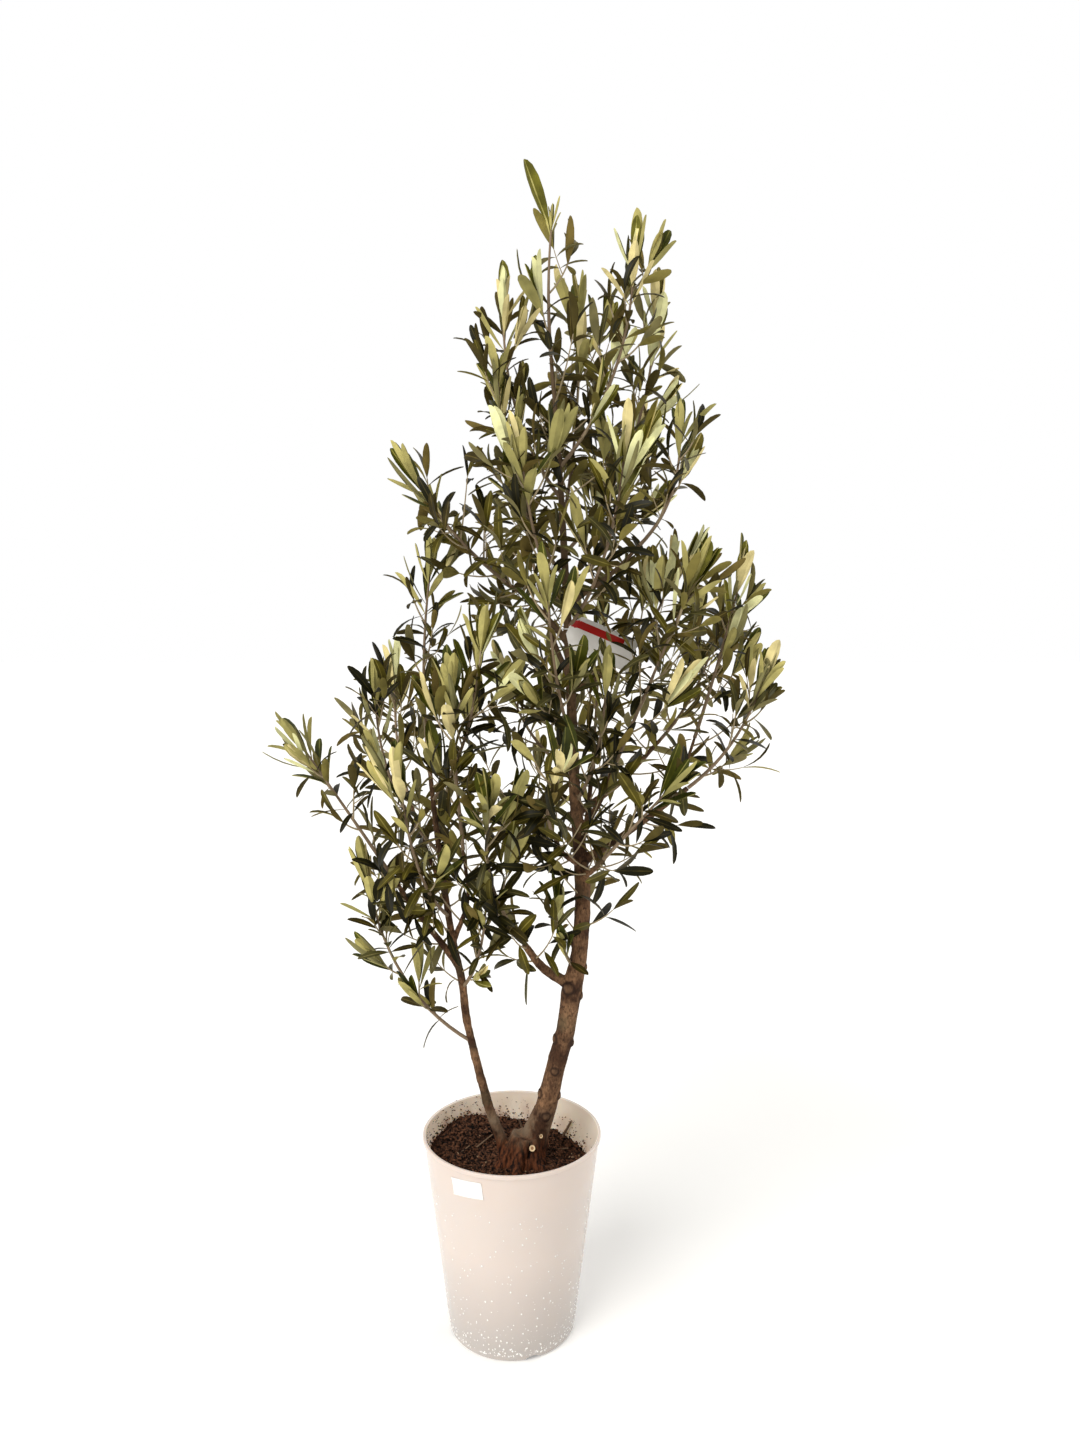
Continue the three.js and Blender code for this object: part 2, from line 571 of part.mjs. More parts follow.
// Assembly
addPart('pot', makePot(), plastic);
addPart('pot_label', makeLabel(), paper);
addPart('soil', makeSoil(), earth);
addPart('hang_tag', tagSolid, paper);
addPart('trunk', limbs.trunk.solid, bark);
addPart('second_stem', limbs.second_stem.solid, bark);
for (const bough of boughs) {
  addPart(`bough_${bough.name}`, limbs[bough.name].solid, barkYoung);
}
for (const name of Object.keys(limbs)) {
  register(name, 0, limbs[name].grown);
}
register('hang_tag', 0, tagSolid);
const stems = masses.map((mass) => stemCurveOf(mass));
masses.forEach((mass, i) => {
  const radiusAt = (share) => THREE.MathUtils.lerp(stemRule.radius, stemRule.tipRadius, share);
  const stem = taperedTube(stems[i], radiusAt, stemRule.sides, stemRule.steps);
  const parent = limbs[mass.from].grown;
  mass.pieces = [mass.at === undefined ? stem : largestBody(stem.subtract(parent))];
  const roomAt = (share) => radiusAt(share) + leafRule.room;
  register(mass.name, 0, taperedTube(stems[i], roomAt, stemRule.sides, stemRule.steps));
});
masses.forEach((mass, i) => {
  addPart(`foliage_${mass.name}`, growMass(mass, stems[i]), foliage);
});

export default group;
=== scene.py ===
import math

import bpy
import numpy as np
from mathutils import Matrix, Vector, noise


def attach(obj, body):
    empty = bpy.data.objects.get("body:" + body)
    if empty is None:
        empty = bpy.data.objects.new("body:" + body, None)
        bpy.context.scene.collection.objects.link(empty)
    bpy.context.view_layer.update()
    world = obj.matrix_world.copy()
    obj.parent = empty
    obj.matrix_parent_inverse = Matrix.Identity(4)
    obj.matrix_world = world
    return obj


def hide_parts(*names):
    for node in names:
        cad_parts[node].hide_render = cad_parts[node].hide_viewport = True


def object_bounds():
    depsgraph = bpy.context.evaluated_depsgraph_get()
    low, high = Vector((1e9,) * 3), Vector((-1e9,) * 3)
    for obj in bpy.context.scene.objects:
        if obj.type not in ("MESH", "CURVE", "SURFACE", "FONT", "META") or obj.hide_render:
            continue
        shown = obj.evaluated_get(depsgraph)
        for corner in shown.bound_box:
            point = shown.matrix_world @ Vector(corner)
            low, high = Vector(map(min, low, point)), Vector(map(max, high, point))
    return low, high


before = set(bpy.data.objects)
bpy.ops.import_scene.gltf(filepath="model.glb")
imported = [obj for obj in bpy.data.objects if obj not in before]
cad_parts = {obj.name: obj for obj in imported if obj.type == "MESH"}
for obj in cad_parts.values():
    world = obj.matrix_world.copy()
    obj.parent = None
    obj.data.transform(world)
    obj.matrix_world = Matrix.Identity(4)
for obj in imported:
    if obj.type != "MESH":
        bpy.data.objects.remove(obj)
cad_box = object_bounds()

# Studio: a pale paper floor under an even sky, with a large soft light high in front on the left and
# a weaker one behind on the right. The camera stands where the photograph was taken.
camera_place = (0.038, -1.309, 0.926)
camera_pitch = 4.41
camera_lens = 25
camera_sensor = 36
soft_lights = (
    ("key", (-1.05, -1.25, 1.4), 2.35, 42),
    ("back", (0.95, 0.7, 1.0), 0.95, 70),
)
lamp_colour = (1, 0.99, 0.975)
sky_colour = (1, 0.992, 0.98, 1)
sky_power = 0.46
backdrop_power = 1.0
floor_width = 90
floor_drop = 0.0004
floor_glow = 0.2
white = (1, 1, 1, 1)


def added(add, **sizes):
    """The new piece that one of the add tools makes, with nothing else selected."""
    bpy.ops.object.select_all(action="DESELECT")
    add(**sizes)
    return bpy.context.object


def add_node(material, kind, inputs=None, **settings):
    """A node in a finish or in the sky; each input is a plain value or another node's output."""
    node = material.node_tree.nodes.new(kind)
    for key, value in settings.items():
        setattr(node, key, value)
    for key, value in (inputs or {}).items():
        if isinstance(value, bpy.types.NodeSocket):
            material.node_tree.links.new(value, node.inputs[key])
        else:
            node.inputs[key].default_value = value
    return node


def set_shader(material, values):
    """Plain numbers and colours on the shader's own sockets."""
    shader = material.node_tree.nodes["Principled BSDF"]
    for name, value in values.items():
        shader.inputs[name].default_value = value


def from_screen(red, green, blue):
    """A colour as a screen shows it, 0 to 255, turned into the renderer's linear values."""
    shares = (red / 255, green / 255, blue / 255)
    return tuple(v / 12.92 if v <= 0.04045 else ((v + 0.055) / 1.055) ** 2.4 for v in shares)


def new_material(name, colour, roughness, values=None):
    """A plain finish in a screen colour; a low specular level among its values makes it duller."""
    material = bpy.data.materials.new(name)
    material.use_nodes = True
    set_shader(material, {"Base Color": (*from_screen(*colour), 1), "Roughness": roughness})
    set_shader(material, values or {})
    return material


def placed(material, stretch=(1, 1, 1)):
    """Object coordinates, squeezed by stretch, for a pattern to lie on."""
    coordinates = add_node(material, "ShaderNodeTexCoord").outputs["Object"]
    mapping = add_node(material, "ShaderNodeMapping", {"Vector": coordinates, "Scale": stretch})
    return mapping.outputs["Vector"]


def speckle(material, scale, detail, stretch=(1, 1, 1)):
    """A cloudy grain from 0 to 1, finer where the scale or the stretch along an axis is larger."""
    inputs = {"Vector": placed(material, stretch), "Scale": scale, "Detail": detail}
    return add_node(material, "ShaderNodeTexNoise", inputs).outputs["Fac"]


def between(material, value, low, high):
    """Raises the contrast of a pattern: 0 where it is at low, 1 where it is at high."""
    inputs = {"Value": value, "From Min": low, "From Max": high}
    return add_node(material, "ShaderNodeMapRange", inputs).outputs["Result"]


def patches(material, scale, detail, low, high, stretch=(1, 1, 1)):
    return between(material, speckle(material, scale, detail, stretch), low, high)


def height_share(material, low, high, axis="Z"):
    """0 at the height low and 1 at the height high, or the same along another axis."""
    split = add_node(material, "ShaderNodeSeparateXYZ", {"Vector": placed(material)})
    return between(material, split.outputs[axis], low, high)


def product(material, first, second):
    return add_node(material, "ShaderNodeMath", {0: first, 1: second}, operation="MULTIPLY").outputs[0]


def mixed(material, share, *tones):
    """Two tones blended by share; each is a screen colour or what an earlier blend gave."""
    first, second = (
        tone if isinstance(tone, bpy.types.NodeSocket) else (*from_screen(*tone), 1) for tone in tones
    )
    inputs = {0: share, 6: first, 7: second}
    return add_node(material, "ShaderNodeMix", inputs, data_type="RGBA").outputs[2]


def wear(material, socket, name):
    """Gives a pattern to one of the shader's own inputs."""
    shader = material.node_tree.nodes["Principled BSDF"]
    material.node_tree.links.new(socket, shader.inputs[name])


def relief(material, height, depth, strength=1.0):
    inputs = {"Height": height, "Distance": depth, "Strength": strength}
    wear(material, add_node(material, "ShaderNodeBump", inputs).outputs["Normal"], "Normal")


def grained(name, colour, roughness, grain, tones, bumps=None, contrast=None):
    """A finish of two tones dealt out by a grain (scale, detail), with bumps (scale, detail, depth)."""
    material = new_material(name, colour, roughness)
    share = speckle(material, *grain)
    if contrast:
        share = between(material, share, *contrast)
    wear(material, mixed(material, share, *tones), "Base Color")
    if bumps:
        relief(material, speckle(material, *bumps[:2]), *bumps[2:])
    return material


def apply_modifiers(piece):
    bpy.context.view_layer.objects.active = piece
    for modifier in list(piece.modifiers):
        bpy.ops.object.modifier_apply(modifier=modifier.name)


def settle(piece, name, material, angle=35):
    """Names a finished piece, smooths it, gives it its finish and seats it on the plant's one body."""
    bpy.ops.object.select_all(action="DESELECT")
    piece.select_set(True)
    bpy.context.view_layer.objects.active = piece
    bpy.ops.object.transform_apply(location=True, rotation=True, scale=True)
    bpy.ops.object.shade_smooth_by_angle(angle=math.radians(angle))
    piece.name = name
    piece.data.name = name
    piece.data.materials.clear()
    for finish in material if isinstance(material, (list, tuple)) else (material,):
        piece.data.materials.append(finish)
    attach(piece, "root")


camera_turn = (math.radians(90 - camera_pitch), 0, 0)
camera = added(bpy.ops.object.camera_add, location=camera_place, rotation=camera_turn)
camera.data.lens = camera_lens
camera.data.sensor_width = camera_sensor
bpy.context.scene.camera = camera
for name, place, power, softness in soft_lights:
    light = added(bpy.ops.object.light_add, type="SUN", location=place)
    light.name = f"light_{name}"
    light.data.energy = power
    light.data.angle = math.radians(softness)
    light.data.color = lamp_colour
    light.rotation_euler = (-Vector(place)).to_track_quat("-Z", "Y").to_euler()
# The camera sees a white backdrop, and all the rest is lit by the sky
world = bpy.data.worlds.new("even_sky")
world.use_nodes = True
sky = world.node_tree.nodes["Background"]
sky.inputs["Color"].default_value = sky_colour
sky.inputs["Strength"].default_value = sky_power
backdrop = add_node(world, "ShaderNodeBackground", {"Color": white, "Strength": backdrop_power})
camera_ray = add_node(world, "ShaderNodeLightPath").outputs["Is Camera Ray"]
seen_or_lit = add_node(
    world, "ShaderNodeMixShader", {0: camera_ray, 1: sky.outputs[0], 2: backdrop.outputs[0]}
)
world_output = world.node_tree.nodes["World Output"]
world.node_tree.links.new(seen_or_lit.outputs[0], world_output.inputs["Surface"])
bpy.context.scene.world = world
bpy.context.scene.view_settings.view_transform = "Standard"

floor_paint = new_material(
    "floor_paint", (240, 239, 236), 0.8, {"Emission Color": white, "Emission Strength": floor_glow}
)
relief(floor_paint, speckle(floor_paint, 40, 4), 0.0004)
floor = added(bpy.ops.mesh.primitive_plane_add, size=floor_width, location=(0, 0, -floor_drop))
floor.name = "floor"
floor.data.materials.append(floor_paint)

# Pot: a standard grower's pot, blow-moulded in cream-white polypropylene, with a thin rolled lip, a
# rounded heel and arched drainage notches cut into the edge of its underside.
rim_radius = 0.120
base_radius = 0.086
pot_height = 0.268
pot_wall = 0.0025
pot_floor = 0.003
lip_reach = 0.0014
lip_height = 0.005
heel = 0.005
lip_round = 0.0011
pot_sides = 144
notch_count = 4
notch_width = 0.022
notch_height = 0.006
notch_depth = 0.018
notch_turn = -70
splash_foot = 0.222
wall_levels = (0.06, 0.12, 0.18, 0.23)
inner_foot = 0.012
floor_ring = 0.04
lip_tuck = 0.4
# Heights at which the painted shade on the pot's foot begins and is full
painted_foot_shade = (0.14, 0.02)
inner_share = 0.6
smear_top = 0.264
smear_low = 0.172
smear_spread = (0.16, -0.04)
# The thin white wall lets some light through, so the inside of the rim is bright
thin_wall = {
    "Subsurface Weight": 0.5,
    "Subsurface Radius": (1, 0.8, 0.6),
    "Subsurface Scale": 0.006,
}


def outer_radius(height):
    """The pot's wall is a plain cone above its heel."""
    share = (height - heel) / (pot_height - heel)
    return base_radius + (rim_radius - lip_reach - base_radius) * share


def arc(radius, height, size, first, last, steps=5):
    """Points on a quarter round about (radius, height), with its angles in degrees."""
    angles = [math.radians(first + (last - first) * i / steps) for i in range(steps + 1)]
    return [(radius + size * math.cos(a), height + size * math.sin(a)) for a in angles]


def turned(profile, sides):
    """A body of revolution: a disc that is drawn up and in or out from ring to ring of the profile."""
    radius, height = profile[0]
    piece = added(
        bpy.ops.mesh.primitive_circle_add,
        vertices=sides, radius=radius, fill_type="NGON", location=(0, 0, height),
    )
    bpy.ops.object.transform_apply(location=True, rotation=True, scale=True)
    bpy.ops.object.mode_set(mode="EDIT")
    bpy.ops.mesh.select_all(action="SELECT")
    for next_radius, next_height in profile[1:]:
        lift = {"value": (0, 0, next_height - height)}
        bpy.ops.mesh.extrude_region_move(TRANSFORM_OT_translate=lift)
        share = next_radius / radius
        bpy.ops.transform.resize(value=(share, share, 1), center_override=(0, 0, next_height))
        radius, height = next_radius, next_height
    bpy.ops.mesh.select_all(action="SELECT")
    bpy.ops.mesh.normals_make_consistent(inside=False)
    bpy.ops.object.mode_set(mode="OBJECT")
    return piece


lip_foot = pot_height - lip_height
inner_rim = rim_radius - lip_reach - pot_wall
pot_profile = (
    arc(base_radius - heel, heel, heel, -90, 0)
    + [(outer_radius(h), h) for h in wall_levels]
    + [(outer_radius(lip_foot - lip_reach), lip_foot - lip_reach)]
    + arc(rim_radius - lip_round, lip_foot + lip_round * lip_tuck, lip_round, -60, 0, 3)
    + arc(rim_radius - lip_round, pot_height - lip_round, lip_round, 0, 90, 4)
    + arc(inner_rim + lip_round, pot_height - lip_round, lip_round, 90, 180, 4)
    + [(outer_radius(h) - pot_wall, h) for h in (*reversed(wall_levels), inner_foot)]
    + arc(base_radius - pot_wall - heel, pot_floor + heel, heel, 0, -90)[1:]
    + [(floor_ring, pot_floor)]
)
pot = turned(pot_profile, pot_sides)
for i in range(notch_count):
    turn = math.radians(notch_turn + 360 / notch_count * i)
    reach = base_radius - notch_depth / 2 + pot_wall
    cutter = added(
        bpy.ops.mesh.primitive_cylinder_add, vertices=40, radius=notch_width / 2, depth=notch_depth,
        location=(reach * math.cos(turn), reach * math.sin(turn), 0),
        rotation=(0, math.pi / 2, turn), scale=(2 * notch_height / notch_width, 1, 1),
    )
    cut = pot.modifiers.new("notch", "BOOLEAN")
    cut.object = cutter
    cut.solver = "EXACT"
    apply_modifiers(pot)
    bpy.data.objects.remove(cutter)

pot_plastic = new_material("pot_plastic", (222, 217, 206), 0.32, thin_wall)
cloudy_tone_and_painted_shade = mixed(pot_plastic, speckle(pot_plastic, 7, 3), (223, 209, 200), (215, 200, 190))
# Painted shade and painted reflection: the plastic is greyer towards the foot, standing for the shade and a
# dark reflection low on the wall
cloudy_tone_and_painted_shade = mixed(pot_plastic, height_share(pot_plastic, *painted_foot_shade), cloudy_tone_and_painted_shade, (188, 180, 174))
wear(pot_plastic, cloudy_tone_and_painted_shade, "Base Color")
wear(pot_plastic, patches(pot_plastic, 30, 5, 0.2, 2.4), "Roughness")
relief(pot_plastic, speckle(pot_plastic, 16, 2), 0.0006, 0.4)
# Inside, most of the splashes are near the mix and on the left
inside_smears_and_painted_glow = new_material("pot_plastic_inside_smears_and_painted_glow", (214, 205, 190), 0.5, thin_wall)
near_soil = height_share(inside_smears_and_painted_glow, smear_top, splash_foot)
splashed = product(inside_smears_and_painted_glow, near_soil, patches(inside_smears_and_painted_glow, 34, 6, 0.44, 0.66, (1, 1, 0.6)))
splashed = product(inside_smears_and_painted_glow, splashed, height_share(inside_smears_and_painted_glow, *smear_spread, "X"))
smear_tone = mixed(inside_smears_and_painted_glow, speckle(inside_smears_and_painted_glow, 60, 3), (112, 80, 56), (172, 142, 114))
# The clean inside is painted paler than the outer plastic: painted light standing for the glow through the
# thin wall
wear(inside_smears_and_painted_glow, mixed(inside_smears_and_painted_glow, splashed, (242, 228, 214), smear_tone), "Base Color")
relief(inside_smears_and_painted_glow, speckle(inside_smears_and_painted_glow, 90, 5), 0.0003)
settle(pot, "grower_pot", (pot_plastic, inside_smears_and_painted_glow), 32)
for face in pot.data.polygons:
    centre = face.center
    inside = math.hypot(centre.x, centre.y) < outer_radius(centre.z) - pot_wall * inner_share
    face.material_index = 1 if inside and centre.z > smear_low else 0
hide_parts("pot")

# Sticker: a small blank price sticker of coated paper, pressed on the wall under the rim and a
# little crooked, with corners that have begun to lift.
sticker_width = 0.044
sticker_height = 0.023
sticker_thickness = 0.0003
sticker_centre = 0.242
sticker_turn = -118
sticker_tilt = -5
sticker_lift = 0.0011
sticker_gap = 0.0002
# The powers with which the lift grows along and across to the corners
sticker_curl = (6, 4)

tilt = math.radians(sticker_tilt)
sticker = added(bpy.ops.mesh.primitive_grid_add, x_subdivisions=24, y_subdivisions=14, size=1)
for vertex in sticker.data.vertices:
    x, y = vertex.co.x * sticker_width, vertex.co.y * sticker_height
    corner = abs(vertex.co.x * 2) ** sticker_curl[0] * abs(vertex.co.y * 2) ** sticker_curl[1]
    across = x * math.cos(tilt) + y * math.sin(tilt)
    height = sticker_centre - x * math.sin(tilt) + y * math.cos(tilt)
    radius = outer_radius(height) + sticker_gap + sticker_lift * corner
    turn = math.radians(sticker_turn) + across / outer_radius(sticker_centre)
    vertex.co = (radius * math.cos(turn), radius * math.sin(turn), height)
thicken = sticker.modifiers.new("paper", "SOLIDIFY")
thicken.thickness = sticker_thickness
thicken.offset = 1
apply_modifiers(sticker)
sticker_paper = grained(
    "sticker_paper", (243, 243, 241), 0.5, (260, 5), ((246, 246, 244), (234, 233, 229)), (260, 5, 0.00006)
)
settle(sticker, "price_sticker", sticker_paper)
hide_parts("pot_label")

# Potting mix: damp bark and peat, filled to three fingers below the rim and heaped at the left back.
# Coarse crumbs of bark lie all over it.
soil_level = 0.224
soil_flat = 0.048
soil_blend = 0.030
soil_slope = -0.12
soil_back_rise = 0.05
soil_heap = 0.009
soil_dip = 0.001
soil_sides = 120
soil_ring_count = 34
lump_scale = 90
lump_height = 0.0016
heap_place = (-0.062, 0.078)
heap_spread = 0.036
wall_gap = 0.0003
crumb_count = 7400
# Grains on the mix: how far out they lie, and the ranges of their size and shape
spread_share = 0.985
edge_room = 0.002
grain_sizes = (0.35, 1)
grain_size_power = 1.6
grain_widths = (0.35, 0.75)
grain_heights = (0.6, 1.2)
grain_roughness = (0.7, 1.25)


def soil_height(x, y):
    """The top of the mix: flat in the middle, sloping to the edge, with a heap at the back."""
    edge = min(max((math.hypot(x, y) - soil_flat) / soil_blend, 0), 1)
    edge = edge * edge * (3 - 2 * edge)
    away = math.hypot(x - heap_place[0], y - heap_place[1]) / heap_spread
    rise = soil_slope * x + soil_back_rise * y + soil_heap * math.exp(-away * away)
    return soil_level - soil_dip + edge * rise


def inner_radius(height):
    return outer_radius(height) - pot_wall - wall_gap


soil_rings = [inner_radius(soil_level) * (1 - i / soil_ring_count) for i in range(soil_ring_count)]
soil_profile = [(base_radius - pot_wall - heel, pot_floor + wall_gap), (inner_radius(inner_foot), inner_foot)]
soil_profile += [(radius, soil_level) for radius in soil_rings]
soil = turned(soil_profile, soil_sides)
for vertex in soil.data.vertices:
    if vertex.co.z < soil_level - soil_dip:
        continue
    x, y = vertex.co.x, vertex.co.y
    radius = math.hypot(x, y)
    lumps = noise.fractal(Vector((x, y, 0)) * lump_scale, 0.8, 2.1, 4) * lump_height
    vertex.co.z = soil_height(x, y) + lumps
    if radius > inner_radius(soil_level) - soil_dip:
        follow = inner_radius(vertex.co.z) / radius
        vertex.co.x, vertex.co.y = x * follow, y * follow
potting_mix = grained(
    "potting_mix", (52, 34, 24), 0.9, (140, 6), ((14, 8, 5), (66, 38, 24)), (420, 8, 0.0012)
)
set_shader(potting_mix, {"Specular IOR Level": 0.15})
settle(soil, "potting_mix", potting_mix, 60)
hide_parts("soil")


def seeded_random(seed):
    """The repeatable stream of numbers between low and high that all growth draws from."""
    state = (seed * 7919) % 2147483647

    def draw(low, high):
        nonlocal state
        state = (state * 16807) % 2147483647
        return low + (high - low) * state / 2147483647

    return draw


def shape_arrays(piece):
    """A small piece's points and triangles, after which the piece itself is removed."""
    bpy.ops.object.mode_set(mode="EDIT")
    bpy.ops.mesh.select_all(action="SELECT")
    bpy.ops.mesh.quads_convert_to_tris()
    bpy.ops.object.mode_set(mode="OBJECT")
    points = np.array([vertex.co[:] for vertex in piece.data.vertices])
    faces = np.array([face.vertices[:] for face in piece.data.polygons])
    bpy.data.objects.remove(piece)
    return points, faces


def joined(clouds, faces_each):
    """One mesh from many copies of a shape: clouds holds each copy's points."""
    count, size = clouds.shape[:2]
    faces = (faces_each[None] + (np.arange(count) * size)[:, None, None]).reshape(-1, 3)
    mesh = bpy.data.meshes.new("copies")
    mesh.from_pydata(clouds.reshape(-1, 3).tolist(), [], faces.tolist())
    piece = bpy.data.objects.new("copies", mesh)
    bpy.context.scene.collection.objects.link(piece)
    return piece


def turned_by(draw):
    """A random rotation as a three by three array."""
    axis = Vector((draw(-1, 1), draw(-1, 1), draw(-1, 1))).normalized()
    return np.array(axis.to_track_quat("Z", "Y").to_matrix())


def scattered(count, seed, long, flat, sink):
    """Grains lying on the mix, each of its own size and shape and turned its own way."""
    draw = seeded_random(seed)
    edge = inner_radius(soil_level)
    clouds = []
    for _ in range(count):
        radius = edge * spread_share * math.sqrt(draw(0, 1))
        turn = draw(0, 2 * math.pi)
        x, y = radius * math.cos(turn), radius * math.sin(turn)
        size = long * draw(*grain_sizes) ** grain_size_power
        grain = grain_points * [size, size * draw(*grain_widths), size * flat * draw(*grain_heights)]
        grain = grain * np.array([[draw(*grain_roughness)] for _ in grain_points])
        grain = grain @ turned_by(draw).T
        close = min(1.0, (edge - edge_room - size) / max(radius, 1e-6))
        clouds.append(grain + [x * close, y * close, soil_height(x, y) + size * sink])
    return joined(np.array(clouds), grain_faces)


grain_points, grain_faces = shape_arrays(
    added(bpy.ops.mesh.primitive_ico_sphere_add, subdivisions=1, radius=1)
)
crumbs = scattered(crumb_count, seed=41, long=0.0046, flat=0.34, sink=0.30)
crumb_brown = grained(
    "crumb_brown", (70, 42, 30), 0.88, (230, 5), ((10, 5, 4), (112, 74, 52)), (700, 6, 0.0005), (0.40, 0.66)
)
set_shader(crumb_brown, {"Specular IOR Level": 0.15})
settle(crumbs, "bark_crumbs", crumb_brown, 50)

# Clinging crumbs: finer bits of the same mix that were washed up against the wall and dried on. Most
# of them sit just above the mix, and the higher ones are smaller.
clinging_count = 950
clinging_turns = (10, 232)
clinging_rise = 0.03
clinging_low = 3.4
clinging_size = 0.0024
clinging_sizes = (0.3, 1)
clinging_size_power = 1.5
clinging_shrink = 0.5
clinging_sink = 0.25

draw = seeded_random(45)
clinging = []
for _ in range(clinging_count):
    turn = math.radians(draw(*clinging_turns))
    rise = draw(0, 1) ** clinging_low
    edge = inner_radius(soil_level)
    height = soil_height(edge * math.cos(turn), edge * math.sin(turn)) + clinging_rise * rise
    size = clinging_size * draw(*clinging_sizes) ** clinging_size_power * (1 - rise * clinging_shrink)
    grain = (grain_points * [size, size * 0.7, size * 0.5]) @ turned_by(draw).T
    reach = inner_radius(height) - size * clinging_sink
    clinging.append(grain + [reach * math.cos(turn), reach * math.sin(turn), height])
clinging_piece = joined(np.array(clinging), grain_faces)
settle(clinging_piece, "clinging_crumbs", crumb_brown, 50)

# Grit: pale bits of bark, pumice and husk, which float up when the pot is watered and stay lying
# loose on top of the mix.
grit_count = 150

grit = scattered(grit_count, seed=43, long=0.0024, flat=0.7, sink=0.7)
grit_pale = grained("grit_pale", (138, 112, 84), 0.85, (120, 4), ((112, 84, 60), (176, 150, 118)))
settle(grit, "pale_grit", grit_pale, 50)

# Sticks: dry bits of wood in the mix, a dark one leaning on the wall at the right and some slivers.
# Each has its foot, its tip and its thickness.
loose_sticks = (
    ((0.070, 0.076, 0.2185), (0.082, 0.073, 0.243), 0.0021),
    ((0.060, 0.041, 0.2185), (0.077, 0.043, 0.2195), 0.0012),
    ((0.012, 0.085, 0.228), (0.008, 0.085, 0.240), 0.0017),
    ((-0.012, -0.060, 0.224), (0.002, -0.052, 0.2262), 0.001),
    ((-0.050, 0.030, 0.2275), (-0.030, 0.052, 0.234), 0.0014),
    ((-0.071, 0.010, 0.2300), (-0.060, 0.024, 0.2325), 0.0011),
)


def smooth_path(bends, steps=20):
    """An even curve through all its bends."""
    bends = [np.array(bend, float) for bend in bends]
    ends = [2 * bends[0] - bends[1]] + bends + [2 * bends[-1] - bends[-2]]
    points = []
    for a, b, c, d in zip(ends, ends[1:], ends[2:], ends[3:]):
        for i in range(steps):
            t = i / steps
            turn = (c - a) * t + (2 * a - 5 * b + 4 * c - d) * t * t + (3 * b - a - 3 * c + d) * t**3
            points.append(b + 0.5 * turn)
    return measured(points + [bends[-1]])


def measured(points):
    """A path is its points and how far along it each of them lies."""
    points = np.array(points)
    steps = np.linalg.norm(np.diff(points, axis=0), axis=1)
    return points, np.concatenate([[0], np.cumsum(steps)])


def point_at(path, share):
    points, along = path
    return np.array([np.interp(share * along[-1], along, points[:, axis]) for axis in range(3)])


def unit(vector):
    return vector / np.linalg.norm(vector)


def tangent_at(path, share):
    return unit(point_at(path, min(share + 0.02, 1)) - point_at(path, max(share - 0.02, 0)))


def share_at_height(path, height):
    """How far along a rising path a height is reached."""
    low, high = 0.0, 1.0
    for _ in range(24):
        middle = (low + high) / 2
        if point_at(path, middle)[2] < height:
            low = middle
        else:
            high = middle
    return low


def tubes(paths, sides, steps):
    """Many closed tapering shoots in one mesh: each has a path, its two radii and ends in a bud."""
    ring = np.arange(sides) * 2 * math.pi / sides
    clouds = []
    for path, radius, tip_radius in paths:
        reference = np.array([0, 1, 0]) if abs(tangent_at(path, 0.5)[1]) < 0.7 else np.array([1, 0, 0])
        cloud = [point_at(path, 0)]
        for i in range(steps + 1):
            share = i / steps
            along = tangent_at(path, share)
            first = unit(np.cross(along, reference))
            second = np.cross(along, first)
            size = radius + (tip_radius - radius) * share
            circle = np.outer(np.cos(ring), first) + np.outer(np.sin(ring), second)
            cloud.extend(point_at(path, share) + size * circle)
        cloud.append(point_at(path, 1) + along * tip_radius * 2.5)
        clouds.append(cloud)
    faces = []
    for side in range(sides):
        after = (side + 1) % sides
        faces.append((0, 1 + after, 1 + side))
        for row in range(steps):
            a, b = 1 + row * sides + side, 1 + row * sides + after
            faces += [(a, b, b + sides), (a, b + sides, a + sides)]
        last = 1 + steps * sides
        faces.append((last + side, last + after, last + sides))
    return joined(np.array(clouds), np.array(faces))


stick_taper = 0.7
stick_paths = [(measured([foot, tip]), size, size * stick_taper) for foot, tip, size in loose_sticks]
sticks = tubes(stick_paths, 7, 4)
stick_wood = grained(
    "stick_wood", (92, 68, 50), 0.8, (60, 4), ((58, 40, 30), (140, 112, 84)), (500, 4, 0.0003)
)
settle(sticks, "loose_sticks", stick_wood, 60)

# Trunk, second stem and boughs: one piece of living olive wood. The trunk leans right from a flared
# stump, forks low down and tapers to the leader; each bough leaves it through a swollen collar.
trunk_bends = (
    (0.02, 0.002, 0.214), (0.032, 0.002, 0.262), (0.046, 0.0, 0.3), (0.06, -0.001, 0.36),
    (0.072, -0.002, 0.405), (0.081, -0.004, 0.466), (0.09, -0.002, 0.51), (0.094, 0.0, 0.56),
    (0.095, 0.004, 0.6), (0.092, 0.006, 0.64), (0.083, 0.004, 0.746), (0.079, 0.0, 0.851),
    (0.064, -0.004, 1.135), (0.052, -0.002, 1.29),
)
trunk_thickness = (
    (0.214, 0.024), (0.245, 0.0205), (0.262, 0.018), (0.282, 0.0158), (0.3, 0.0144), (0.34, 0.0132),
    (0.43, 0.0126), (0.462, 0.014), (0.476, 0.0134), (0.5, 0.0114), (0.6, 0.0102), (0.625, 0.0106),
    (0.645, 0.009), (0.746, 0.0076), (0.851, 0.0066), (1.135, 0.0039), (1.29, 0.0026),
)
second_bends = (
    (-0.006, 0.0, 0.226), (-0.017, 0.0, 0.262), (-0.03, 0.0, 0.296), (-0.041, 0.0, 0.337),
    (-0.051, -0.002, 0.379), (-0.061, -0.004, 0.428), (-0.066, -0.006, 0.476), (-0.08, -0.008, 0.545),
    (-0.096, -0.006, 0.66), (-0.108, -0.004, 0.77),
)
second_thickness = (
    (0.226, 0.0094), (0.262, 0.0076), (0.296, 0.0066), (0.337, 0.0058), (0.385, 0.0055),
    (0.474, 0.0053), (0.66, 0.004), (0.77, 0.003),
)
